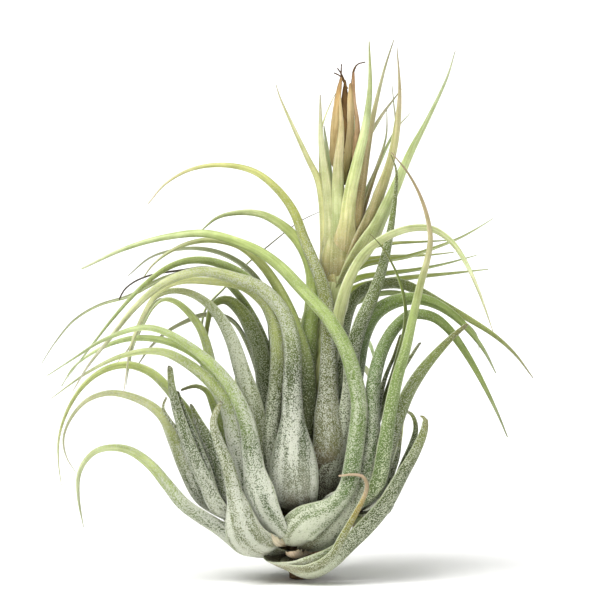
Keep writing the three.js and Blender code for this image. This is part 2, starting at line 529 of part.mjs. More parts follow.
// each bract starts on the scape; sheath and blade widths as for the leaves
const BRACTS = [
  {
    sheath: 9, blade: 4.4, blunt: 1,
    rib: [
      [11, 0, 90], [8.6, -2, 101], [8, -3, 111], [7.3, -3.5, 124.3], [5.7, -4, 132.7],
      [2.3, -5, 140], [-2.3, -6, 150], [-6.7, -7, 160], [-8, -7.5, 164.3],
    ],
  },
  {
    sheath: 9, blade: 4.4, blunt: 1.2,
    rib: [
      [12, 0, 96], [10.4, -4, 108], [9.6, -5.5, 124.3], [8.4, -6.3, 134.3], [7, -7, 146],
      [6.7, -7.5, 161],
    ],
  },
  {
    sheath: 7, blade: 3.1,
    rib: [
      [12.5, 0, 104], [8.5, 0, 118], [6.8, -1, 136], [7.3, -1.5, 150], [10, -2, 157.7],
      [12.7, -2, 163],
    ],
  },
  {
    sheath: 11.5, blade: 5, blunt: 1.2,
    rib: [
      [12.5, 0, 92], [12.4, -4.5, 104], [12.9, -6, 114], [12.7, -7, 126], [12.7, -7.7, 137],
      [13.7, -8.3, 149.3], [13.3, -8.5, 161],
    ],
  },
  {
    sheath: 11.5, blade: 5.4, blunt: 0.9,
    rib: [
      [13, 0, 94], [14.5, -5, 107], [15.6, -7, 118], [17, -8, 129], [19.3, -8.5, 139],
      [21.7, -8.5, 149.3], [23.3, -8.5, 162.7], [23, -8.5, 178.7],
    ],
  },
  {
    sheath: 10.5, blade: 4.8, blunt: 0.9,
    rib: [
      [14, 0, 100], [17.4, -3, 112], [19.9, -4, 126], [22.3, -3.5, 142], [24.9, -3, 156],
      [28.3, -2, 170], [31.3, -1.5, 179.4],
    ],
  },
  {
    sheath: 8, blade: 4, blunt: 1.1,
    rib: [
      [14, 0, 102], [18.5, 1.5, 114], [22.7, 2, 127.7], [26, 3, 137.7], [28.8, 4, 147.7],
      [29, 4.5, 157],
    ],
  },
  {
    sheath: 12.5, blade: 5.8, blunt: 1,
    rib: [
      [13.5, 0, 98], [18.8, -1.5, 109], [24.6, -1, 122], [29.6, 0, 136], [32.3, 0, 147.7],
      [33.3, -1, 161], [32.3, -2, 177.3],
    ],
  },
  {
    sheath: 12.5, blade: 5.8, blunt: 0.9,
    rib: [
      [13, 0, 94], [19, -3, 105], [26, -3.5, 117], [31.3, -3, 128], [36.7, -4, 141],
      [43.3, -5, 154.3], [49, -6, 166.7], [51.7, -7, 175.7],
    ],
  },
  {
    sheath: 7, blade: 3.1,
    rib: [[15, 0, 112], [17.4, 4, 127], [21, 6, 142.7], [26.7, 7, 153.3], [34, 8, 163.3]],
  },
  {
    sheath: 7, blade: 3.5,
    rib: [
      [14, 0, 104], [21.5, 4, 119], [27, 5.5, 131], [30.9, 6, 143], [32, 6, 151], [31.4, 6, 157.7],
      [30.8, 6, 164.3],
    ],
  },
  {
    sheath: 7, blade: 3.1,
    rib: [[14.5, 0, 108], [20, 6, 122], [26, 9, 137], [32.4, 10, 150], [37, 10, 155.3]],
  },
  {
    sheath: 9, blade: 4.7,
    rib: [[12.5, 0, 92], [11, 5, 106], [10, 7, 122], [9.4, 8, 138], [8, 9, 151]],
  },
  {
    sheath: 9, blade: 4.7,
    rib: [[13.5, 0, 98], [15.5, 5.5, 112], [17, 8, 128], [18, 9.5, 145], [17.4, 11, 160]],
  },
];

// ---- dried flower: papery strips rolled round a slim core, with threads at the top ----
const FLOWER_CORE = [[0, 131], [1.6, 132], [2.8, 140], [2.5, 152], [0, 166]];
const FLOWER_CENTRE = [15, -0.6];
const FLOWER_STRIPS = [
  {
    width: 4.6,
    rib: [
      [13.6, -1, 132], [11.2, -2, 138.5], [11.2, -2.6, 149.3], [12.5, -2.4, 160], [13.7, -2, 167],
    ],
  },
  {
    width: 3.8,
    rib: [[15.5, -1.5, 132], [16.5, -3, 142.7], [17, -3.2, 154.3], [16.9, -2.8, 165]],
  },
  {
    width: 4.8,
    rib: [
      [16, -0.5, 132], [18.8, -1, 142.7], [19, -1, 151], [17.9, -0.8, 159.3], [17.9, -0.8, 168.7],
    ],
  },
  {
    width: 4,
    rib: [[15, 0.5, 133], [14.5, 1.8, 142], [14.8, 2, 152], [15.2, 1.4, 163]],
  },
];
const FLOWER_THREADS = [
  [[13.4, -1.6, 164], [13.7, -1.6, 168], [13.8, -1.5, 171.5]],
  [[15.8, -1.5, 164.5], [13.4, -1.7, 167.4], [11, -1.6, 168.6]],
  [[17.5, -0.5, 165], [17.8, -0.5, 169.3], [19.2, -0.6, 171.4], [22, -0.8, 172.2]],
];
const THREAD_RADIUS = 0.5;
const FLOWER_SECTION = { curl: 130, thick: 0.9, stations: 5, endWidth: 0.35 };
const FLOWER_SIDES = 6;
const THREAD_SIDES = 4;

// ---- dead scales at the foot of the stem ----
const SCALES = [
  {
    sheath: 6.5, blade: 5, tip: 1, blunt: 1.2,
    rib: [[-4, -6, 13], [-5.5, -13, 12], [-8, -19.5, 12.5], [-10.4, -23, 15.6]],
  },
  {
    sheath: 9, blade: 7, tip: 1.6, blunt: 1.4,
    rib: [[0, -5, 9.6], [-1.2, -12, 8.6], [-2.4, -17.5, 8.5], [-3.2, -20.5, 9.6]],
  },
];

// ---- curves and sections ----

const mixed = THREE.MathUtils.lerp;

// leans a measured point back with the plant
function leaned([x, depth, height]) {
  return new THREE.Vector3(
    x,
    depth * Math.cos(LEAN) + height * Math.sin(LEAN),
    height * Math.cos(LEAN) - depth * Math.sin(LEAN),
  );
}

// a leaf's root: it runs out from the stem, bulges, and turns up against the layer inside it
function rootPoints(azimuth, layer) {
  const height = INNER_ROOT_HEIGHT - LAYER_DROP * layer;
  const bulge = INNER_BULGE + LAYER_SWELL * layer;
  const angle = THREE.MathUtils.degToRad(azimuth);
  const at = (radius, rise) => [radius * Math.cos(angle), radius * Math.sin(angle), height + rise];
  const middle = ROOT_MIDDLE.share * bulge + ROOT_MIDDLE.out;
  return [at(ROOT_RADIUS, 0), at(middle, ROOT_MIDDLE.rise), at(bulge, ROOT_RISE)];
}

// turns the inner side of a leaf away from the front by the angle, as far as its course allows
function facedInner(along, inner, angle) {
  const back = new THREE.Vector3(0, 1, 0);
  back.addScaledVector(along, -back.dot(along)).addScaledVector(inner, -back.dot(inner));
  return inner.clone().multiplyScalar(Math.cos(angle)).addScaledVector(back, Math.sin(angle)).normalize();
}

// evenly spaced points on a smooth curve, each with a frame that turns as little as it can;
// "inner" points from the midrib to the inner (upper) side of the leaf, and "bend" adds up the turns
function frames(points, face, turned) {
  const curve = new THREE.CatmullRomCurve3(points, false, "centripetal");
  const places = curve.getSpacedPoints(CURVE_SAMPLES);
  const length = curve.getLength();
  const list = [];
  let still = new THREE.Vector3(0, 0, 1);
  let bend = 0;
  for (let i = 0; i <= CURVE_SAMPLES; i += 1) {
    const before = places[Math.max(i - 1, 0)];
    const after = places[Math.min(i + 1, CURVE_SAMPLES)];
    const along = after.clone().sub(before).normalize();
    still = still.clone().addScaledVector(along, -still.dot(along)).normalize();
    bend += i > 0 ? along.angleTo(list[i - 1].along) : 0;
    const ramp = THREE.MathUtils.smoothstep(i / CURVE_SAMPLES, 0, turned);
    const inner = facedInner(along, still, THREE.MathUtils.degToRad(face) * ramp);
    list.push({ place: places[i], along, inner, bend, ramp });
  }
  return { list, length };
}

// distances along a blade, closer together where it bends
function bladeStations(path, start, count) {
  const first = Math.round((start / path.length) * CURVE_SAMPLES);
  const bendFrom = path.list[first].bend;
  const weight = (i) => (i - first) / CURVE_SAMPLES + BEND_WEIGHT * (path.list[i].bend - bendFrom);
  const total = weight(CURVE_SAMPLES);
  const stations = [start];
  for (let i = first + 1; i <= CURVE_SAMPLES; i += 1) {
    if (weight(i) >= (total * stations.length) / count - ROUNDING && stations.length < count) {
      stations.push((path.length * i) / CURVE_SAMPLES);
    }
  }
  return [...stations, path.length];
}

// the frame at a distance along the curve
function frameAt(path, distance) {
  const f = THREE.MathUtils.clamp(distance / path.length, 0, 1) * CURVE_SAMPLES;
  const i = Math.min(Math.floor(f), CURVE_SAMPLES - 1);
  const mix = (key) => path.list[i][key].clone().lerp(path.list[i + 1][key], f - i);
  const along = mix("along").normalize();
  const inner = mix("inner").normalize();
  const ramp = mixed(path.list[i].ramp, path.list[i + 1].ramp, f - i);
  return { place: mix("place"), inner, side: inner.clone().cross(along), ramp };
}

// width, curl and thickness of a leaf at a distance from its root
function leafShape(leaf, sheathLength, length, distance) {
  const t = distance / sheathLength;
  const u = THREE.MathUtils.clamp((distance - sheathLength) / (length - sheathLength), 0, 1);
  const swell = leaf.widest ?? SHEATH_WIDEST;
  let width;
  if (t < swell) {
    const share = mixed(leaf.root ?? ROOT_SHARE, 1, Math.sin((Math.PI / 2) * (t / swell)));
    width = leaf.sheath * Math.max(share, LEAST_ROOT);
  } else if (t < 1) {
    const wave = 0.5 + 0.5 * Math.cos((Math.PI * (t - swell)) / (1 - swell));
    width = leaf.blade + (leaf.sheath - leaf.blade) * wave;
  } else {
    const fade = u ** (leaf.blunt ?? BLUNT);
    width = mixed(leaf.blade, leaf.tip ?? TIP_WIDTH, fade);
  }
  let curl;
  if (t < swell) {
    curl = mixed(CURL.root, CURL.sheath, t / swell);
  } else if (t < 1) {
    curl = mixed(CURL.sheath, CURL.neck, (t - swell) / (1 - swell));
  } else {
    curl = mixed(CURL.neck, CURL.tip, u);
  }
  const thick = t < 1 ? mixed(THICK.root, THICK.sheath, t) : mixed(THICK.sheath, THICK.tip, u);
  return { width, curl, thick };
}

// one crescent section: three or five points on the outer side, three on the inner side
function crescent(frame, shape, grow, outerPoints) {
  const half = THREE.MathUtils.degToRad(shape.curl / 2);
  const radius = shape.width / (2 * Math.sin(half));
  const narrow = THREE.MathUtils.smoothstep(shape.width, NARROW.from, NARROW.to);
  const at = (across, up) =>
    frame.place.clone().addScaledVector(frame.side, across).addScaledVector(frame.inner, up);
  const steps = outerPoints === 5 ? [-1, -0.5, 0, 0.5, 1] : [-1, 0, 1];
  const outer = steps.map((k) => {
    const a = half * k;
    const out = radius + grow;
    const spread = Math.abs(k) === 1 ? grow * k : 0;
    return at(out * Math.sin(a) + spread * Math.cos(a), radius - out * Math.cos(a) + spread * Math.sin(a));
  });
  const rim = (k) => {
    const a = half * k;
    const lean = a * narrow;
    const depth = EDGE + grow;
    const spread = grow * k;
    return at(
      radius * Math.sin(a) - depth * Math.sin(lean) + spread * Math.cos(a),
      radius - radius * Math.cos(a) + depth * Math.cos(lean) + spread * Math.sin(a),
    );
  };
  const inner = [rim(-1), at(0, shape.thick + grow), rim(1)];
  return { outer, inner };
}

// a closed body through crescent sections; both faces of a blade are split the same way
function skin(sections) {
  const vertices = [];
  const triangles = [];
  const rows = sections.map(({ outer, inner }) => {
    const first = vertices.length / 3;
    [...outer, ...inner].forEach((p) => vertices.push(p.x, p.y, p.z));
    const count = outer.length;
    return {
      outer: outer.map((_, k) => first + k),
      inner: inner.map((_, k) => first + count + k),
    };
  });
  // a strip between two rows of points, "flip" turns it inside out
  const strip = (a, b, flip) => {
    const add = (p, q, r) => triangles.push(...(flip ? [p, r, q] : [p, q, r]));
    const step = (a.length - 1) / (b.length - 1);
    for (let k = 0; k + 1 < b.length; k += 1) {
      const p = a[k * step];
      const q = a[(k + 1) * step];
      if (step === 2) {
        const middle = a[k * step + 1];
        add(p, middle, b[k]);
        add(middle, b[k + 1], b[k]);
        add(middle, q, b[k + 1]);
      } else {
        add(p, q, b[k + 1]);
        add(p, b[k + 1], b[k]);
      }
    }
  };
  for (let s = 0; s + 1 < rows.length; s += 1) {
    const a = rows[s];
    const b = rows[s + 1];
    strip(a.outer, b.outer, false);
    strip(a.inner, b.inner, true);
    strip([a.outer.at(-1), a.inner.at(-1)], [b.outer.at(-1), b.inner.at(-1)], false);
    strip([a.inner[0], a.outer[0]], [b.inner[0], b.outer[0]], false);
  }
  strip(rows[0].outer, rows[0].inner, true);
  strip(rows.at(-1).outer, rows.at(-1).inner, false);
  return { vertices, triangles };
}

// ---- solids ----

function solidOf({ vertices, triangles }) {
  const mesh = new wasm.Mesh({
    numProp: 3,
    vertProperties: new Float32Array(vertices),
    triVerts: new Uint32Array(triangles),
  });
  return new wasm.Manifold(mesh);
}

function solidOfGeometry(geometry) {
  const bare = geometry.clone();
  bare.deleteAttribute("normal");
  bare.deleteAttribute("uv");
  const merged = mergeVertices(bare, WELD);
  return solidOf({ vertices: merged.attributes.position.array, triangles: merged.index.array });
}

function geometryOf(solid) {
  const mesh = solid.getMesh();
  const geometry = new THREE.BufferGeometry();
  geometry.setAttribute("position", new THREE.BufferAttribute(mesh.vertProperties, 3));
  geometry.setIndex(new THREE.BufferAttribute(mesh.triVerts, 1));
  geometry.computeVertexNormals();
  return geometry;
}

function joined(solids) {
  return solids.reduce((sum, solid) => sum.add(solid));
}

// cutting can leave loose slivers; the largest body is the leaf
function largest(solid) {
  const bodies = solid.decompose();
  return bodies.reduce((best, body) => (body.volume() > best.volume() ? body : best));
}

function boxesMeet(a, b) {
  return [0, 1, 2].every((k) => a.min[k] <= b.max[k] && b.min[k] <= a.max[k]);
}

// a leaf as a solid; "grow" makes it fatter all round, to cut its neighbours clear of it
function leafSolid(leaf, points, grow) {
  const path = frames(points.map(leaned), leaf.face ?? FACE, leaf.turned ?? FACE_RAMP);
  const sheathLength = Math.min((leaf.neck ?? SHEATH_LENGTH) * leaf.sheath, SHEATH_SHARE * path.length);
  const sheath = SHEATH_STATIONS.map((share) => share * sheathLength);
  const even = Math.round((path.length - sheathLength) / STATION_SPACING);
  const count = leaf.stations ?? THREE.MathUtils.clamp(even, FEWEST_STATIONS, MOST_STATIONS);
  const blade = bladeStations(path, sheathLength, count);
  const sections = [...sheath, ...blade].map((distance, i) => {
    const shape = leafShape(leaf, sheathLength, path.length, distance);
    const outerPoints = i < sheath.length && leaf.sheath > WIDE_SHEATH ? 5 : 3;
    const frame = frameAt(path, distance);
    frame.place.addScaledVector(frame.inner, -HALF_DEPTH * shape.width * frame.ramp);
    return crescent(frame, shape, grow, outerPoints);
  });
  return solidOf(skin(sections));
}

// a strip of one curl that narrows to its end, such as a dried petal
function stripSolid({ width, rib }, { curl, thick, stations, endWidth }) {
  const path = frames(rib.map(leaned), FACE, FACE_RAMP);
  const sections = [];
  for (let i = 0; i <= stations; i += 1) {
    const share = i / stations;
    const shape = { width: width * mixed(1, endWidth, share ** 2), curl, thick };
    sections.push(crescent(frameAt(path, path.length * share), shape, 0, 3));
  }
  return solidOf(skin(sections));
}

// a round rod through points, with a radius at each
function rodSolid(points, radii, sides, grow) {
  const places = points.map(leaned);
  const curve = new THREE.CatmullRomCurve3(places, false, "centripetal");
  const steps = points.length - 1;
  const vertices = [];
  const triangles = [];
  for (let i = 0; i <= steps; i += 1) {
    const f = (i / steps) * (radii.length - 1);
    const k = Math.min(Math.floor(f), radii.length - 2);
    const radius = mixed(radii[k], radii[k + 1], f - k) + grow;
    const centre = curve.getPoint(i / steps);
    const along = curve.getTangent(i / steps);
    const side = new THREE.Vector3(1, 0, 0).addScaledVector(along, -along.x).normalize();
    const up = along.clone().cross(side);
    for (let j = 0; j < sides; j += 1) {
      const a = (2 * Math.PI * j) / sides;
      const p = centre.clone().addScaledVector(side, radius * Math.cos(a));
      p.addScaledVector(up, radius * Math.sin(a));
      vertices.push(p.x, p.y, p.z);
    }
  }
  for (let i = 0; i < steps; i += 1) {
    for (let j = 0; j < sides; j += 1) {
      const a = i * sides + j;
      const b = i * sides + ((j + 1) % sides);
      triangles.push(a, b, b + sides, a, b + sides, a + sides);
    }
  }
  for (let j = 1; j + 1 < sides; j += 1) {
    triangles.push(0, j + 1, j);
    triangles.push(steps * sides, steps * sides + j, steps * sides + j + 1);
  }
  return solidOf({ vertices, triangles });
}

// everything below the surface that the plant rests on
function groundSolid() {
  const [width, depth, height] = GROUND_SIZE;
  return solidOfGeometry(new THREE.BoxGeometry(width, depth, height).translate(0, 0, -height / 2));
}

// the stem: a short tapered column on its flat scar
function stemSolid(grow) {
  const side = STEM_PROFILE.map(([radius, height]) => new THREE.Vector2(radius + grow, height));
  side.at(-1).y += grow;
  const profile = [new THREE.Vector2(0, 0), ...side, new THREE.Vector2(0, STEM_HEIGHT + grow)];
  const column = new THREE.LatheGeometry(profile, STEM_SIDES);
  column.rotateX(Math.PI / 2);
  return solidOfGeometry(column);
}

// ---- the plant ----

const ground = groundSolid();
const plant = new THREE.Group();
plant.name = "air_plant";

function addMesh(name, tone, solid) {
  const { color, roughness } = TONES[tone];
  const material = new THREE.MeshStandardMaterial({ color, roughness, metalness: 0 });
  const mesh = new THREE.Mesh(geometryOf(solid), material);
  mesh.name = name;
  plant.add(mesh);
}

// what has its place already, each with the space round it that others keep out of
const placed = [];

function place(name, tone, solid, fat) {
  const box = solid.boundingBox();
  let clear = solid.subtract(ground);
  placed.filter((other) => boxesMeet(other.box, box)).forEach((other) => {
    clear = clear.subtract(other.fat);
  });
  clear = largest(clear);
  placed.push({ box: fat.boundingBox(), fat });
  addMesh(name, tone, clear);
}

function buildStem() {
  place("stem", "stem", stemSolid(0), stemSolid(GAP));
}

function buildFlower() {
  const profile = FLOWER_CORE.map(([radius, height]) => new THREE.Vector2(radius, height));
  const core = new THREE.LatheGeometry(profile, FLOWER_SIDES);
  core.rotateX(Math.PI / 2).translate(FLOWER_CENTRE[0], FLOWER_CENTRE[1], 0).rotateX(-LEAN);
  const strips = FLOWER_STRIPS.map((strip) => stripSolid(strip, FLOWER_SECTION));
  const threads = FLOWER_THREADS.map((rib) => rodSolid(rib, rib.map(() => THREAD_RADIUS), THREAD_SIDES, 0));
  const solid = joined([solidOfGeometry(core), ...strips, ...threads]);
  place("dry_flower", "dry", solid, solid);
}

function buildLeaf(leaf) {
  const root = leaf.free ? [] : rootPoints(leaf.azimuth, leaf.layer);
  const points = [...root, ...leaf.rib];
  place(leaf.name, leaf.tone, leafSolid(leaf, points, 0), leafSolid(leaf, points, GAP));
}

function buildShoot(shoot) {
  const body = (grow) => {
    const bulb = new THREE.SphereGeometry(shoot.bulbRadius + grow, ...BULB_SEGMENTS);
    const centre = leaned(shoot.bulb);
    bulb.translate(centre.x, centre.y, centre.z);
    const leaves = shoot.leaves.map((leaf) => leafSolid(leaf, [shoot.bulb, ...leaf.rib], grow));
    return joined([solidOfGeometry(bulb), ...leaves]);
  };
  place(shoot.name, shoot.tone, body(0), body(GAP));
}

function buildSpike() {
  const body = (grow) => {
    const scape = rodSolid(SCAPE, SCAPE_RADII, SCAPE_SIDES, grow);
    const bracts = BRACTS.map((bract) => leafSolid({ ...bract, stations: BRACT_STATIONS }, bract.rib, grow));
    return joined([scape, ...bracts]);
  };
  place("flower_spike", "bract", body(0), body(GAP));
}

function buildScale(scale, index) {
  const leaf = { ...scale, stations: SCALE_STATIONS, neck: SCALE_NECK };
  const name = `dry_scale_${index + 1}`;
  place(name, "dry", leafSolid(leaf, scale.rib, 0), leafSolid(leaf, scale.rib, GAP));
}

buildStem();
SCALES.forEach(buildScale);
buildFlower();
buildSpike();
const byLayer = [...LEAVES, ...SHOOTS].sort((a, b) => b.layer - a.layer);
byLayer.forEach((item) => (item.leaves ? buildShoot(item) : buildLeaf(item)));

export default plant;
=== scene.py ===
"""Air plant: a bare rosette of scurfy channelled leaves with a flower spike, on its CAD frame.

The tables hold the same midribs and widths as the CAD source, in millimetres, with the front at -Y
and +Z up. Every leaf is swept along its midrib again with a finer section, its own unevenness,
colours that change from root to tip, and grey scurf.
"""
import math

import bpy
import numpy as np
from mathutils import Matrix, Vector


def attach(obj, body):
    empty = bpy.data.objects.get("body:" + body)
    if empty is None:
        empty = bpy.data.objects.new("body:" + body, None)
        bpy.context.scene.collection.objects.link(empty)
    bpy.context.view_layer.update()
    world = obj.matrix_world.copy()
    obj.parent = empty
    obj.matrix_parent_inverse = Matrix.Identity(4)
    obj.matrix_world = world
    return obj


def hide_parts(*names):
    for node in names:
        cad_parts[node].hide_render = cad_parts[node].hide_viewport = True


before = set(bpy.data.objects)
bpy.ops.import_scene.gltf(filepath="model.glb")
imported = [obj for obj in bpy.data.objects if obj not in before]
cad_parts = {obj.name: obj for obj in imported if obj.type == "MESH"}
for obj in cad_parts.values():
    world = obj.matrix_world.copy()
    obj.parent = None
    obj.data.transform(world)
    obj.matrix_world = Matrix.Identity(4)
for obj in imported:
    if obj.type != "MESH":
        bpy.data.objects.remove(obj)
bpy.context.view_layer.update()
scene = bpy.context.scene

# ---- driving dimensions, in millimetres and degrees unless said otherwise ----
MM = 0.001  # metres
LEAN = math.radians(5)  # the plant was measured upright, and leans back by this
STEM_PROFILE = [(3.6, 0), (3.9, 2), (8, 6.5), (8, 18), (5, 33)]  # radius and height
STEM_TOP = 34
LAYER_DROP = 3  # each layer of leaves leaves the stem this much lower than the one inside it
LAYER_SWELL = 1.6  # and bulges out this much further
INNER_ROOT_HEIGHT = 33
INNER_BULGE = 7
ROOT_RADIUS = 3  # where a leaf's midrib starts inside the stem
ROOT_RISE = 8  # how far a leaf rises while it bulges
SHOULDER_SHARE = 0.6  # the root's middle point lies this share of the bulge out
SHOULDER_OUT = 2  # and this much more
SHOULDER_RISE = 1
SHEATH_SHARE = 0.6  # a sheath takes up no more than this share of the leaf
LEAST_ROOT = 0.25  # width of the narrowest root, in sheath widths
HALF_DEPTH = 0.22  # a measured midrib runs inside the channel, this many widths off its back
EDGE = 0.3  # thickness of a leaf at its margins
CURL = dict(root=50, sheath=84, neck=160, tip=120)  # how far a leaf curls round its own midrib
THICK = dict(root=1.6, sheath=1.3, tip=0.6)
# a leaf, where its row of the table says nothing else
PLAIN_LEAF = dict(
    tip=0.4,  # width just before the very tip
    blunt=1.15,  # the blade narrows slowly at first, by this power
    neck=2.6,  # length of the sheath, in sheath widths
    widest=0.42,  # where along the sheath it is widest
    root=0.6,  # width of the root, in sheath widths; below 0, the sheath swells late
    face=25,  # how far it turns its outer face to the front
    turned=0.3,  # share of the leaf over which it makes that turn
)

# ---- how finely and how unevenly the leaves are swept ----
SPLINE_STEPS = 24  # between two points of a midrib
CURVE_SAMPLES = 120  # along a whole midrib
LEAF_STATIONS = (28, 120)  # fewest and most sections
ROD_STATIONS = (10, 90)
ACROSS = (10, 14)  # facets across the outer face of a narrow and a wide leaf
WIDE_SHEATH = 8  # sheaths wider than this are wide
TIP_ROUND = 0.6  # radius of a rounded tip, in tip widths
TIP_STEPS = [1, 0.75, 0.5, 0.3, 0.14, 0.04]  # sections in the rounded tip, in radii before its end
TIP_CLOSED = 0.97  # how far the rounding goes before the last point closes it
WAVES = dict(width=7, curl=5, twist=4, margin=12, colour=9)  # that make up each unevenness
WAVE_FALL = 0.7  # the finer the wave, the lower, by this power
WAVE_PACE = 1.7
WAVE_SCALE = 1.8  # brings the sum back to about 1
CURL_VARIES = 0.08  # share
TWIST_FROM = (0.1, 0.4)  # shares of the leaf between which the twist sets in
MOST_THICK = 0.75  # share of a section's radius that a leaf may be thick
EDGE_SHARE = 0.5  # share of a thin leaf's thickness that its margins have
THICK_POWER = 0.7  # how full a section is between its margins
RIM_POWER = 4  # ripples stay near the margins
RIPPLE_HEIGHT = 0.2  # in widths

# ---- colouring, as shares ----
MARGIN_FROM = 0.88  # where across a leaf the pale margin starts
PAINTED_SHADE_RADII = (7, 19)  # millimetres from the stem's axis: nearer to it, leaves are darkened by painted shade and carry less scurf
PAINTED_SHADE_TOP = (60, 85)  # but not above these heights
# how far the painted shade near the axis darkens the tint, and how much scurf is kept there
PAINTED_SHADE_TINT = 0.5
NEAR_AXIS_COVER = 0.4
INNER_COVER = 0.2  # scurf on a leaf's inner side
SHADE_VARIES = 0.07  # from leaf to leaf
HUE_VARIES = 0.04
TINT_VARIES = 0.1  # along a leaf
DRY_BLEND = (-0.06, 0.08)  # a dry end sets in between these, from where it starts
DRY_BARE = 0.1  # and has lost its scurf after this much
MOST_TINT = 0.9
SEED_STEP = 7.3  # moves the pattern on from one leaf to the next
# a look, where nothing else is said
PLAIN_LOOK = dict(
    spacing=1.5,  # millimetres between sections
    uneven=0.025,  # how much the width varies
    twist=5,  # degrees that it twists to and fro
    thin=1,  # thickness, as a share of a leaf's
    ripple=0.05,  # of the margins
    margin=0.85,  # how pale the margins are
    inside=0.56,  # how much darker the inner side is: partly its own darker tissue, partly painted shade
    flakes=True,  # loose scurf lies on it
    dry=None,  # where it ends dry, and the colour
)

# ---- the smaller pieces ----
STEM_GRID = (60, 40)  # rows and sides
SCAR_DEPTH = 0.35  # of old leaf scars, which wind round the stem
SCAR_PACE = 1.1
STEM_ROUGH = 0.12
SCALE_NECK = 1.5
BULB_PROFILE = [0.3, 0.8, 1, 0.8, 0.3]  # from below to above, in bulb radii
SIDES = dict(bulb=16, scape=24, core=18, thread=7)
STRIP_SHAPE = dict(tip=1.2, blunt=2.5)
STRIP_TAPER = 0.9  # width of a strip's blade, in its first width
CORE_POINTS = 8
THINNEST_CORE = 0.3
THREAD_RADII = [0.4, 0.32, 0.26, 0.2]
# loose flakes: how many, how far they turn off a leaf's course, their size and how far they lift,
# half their width, how deep their foot sinks in, and how high and far ahead their middle stands
SCURF = dict(
    seed=77, flakes=16000, turn=0.6, size=(0.14, 0.34), lift=(12, 40), half_width=0.3, sink=0.05,
    crown=0.07, crown_ahead=0.2,
)

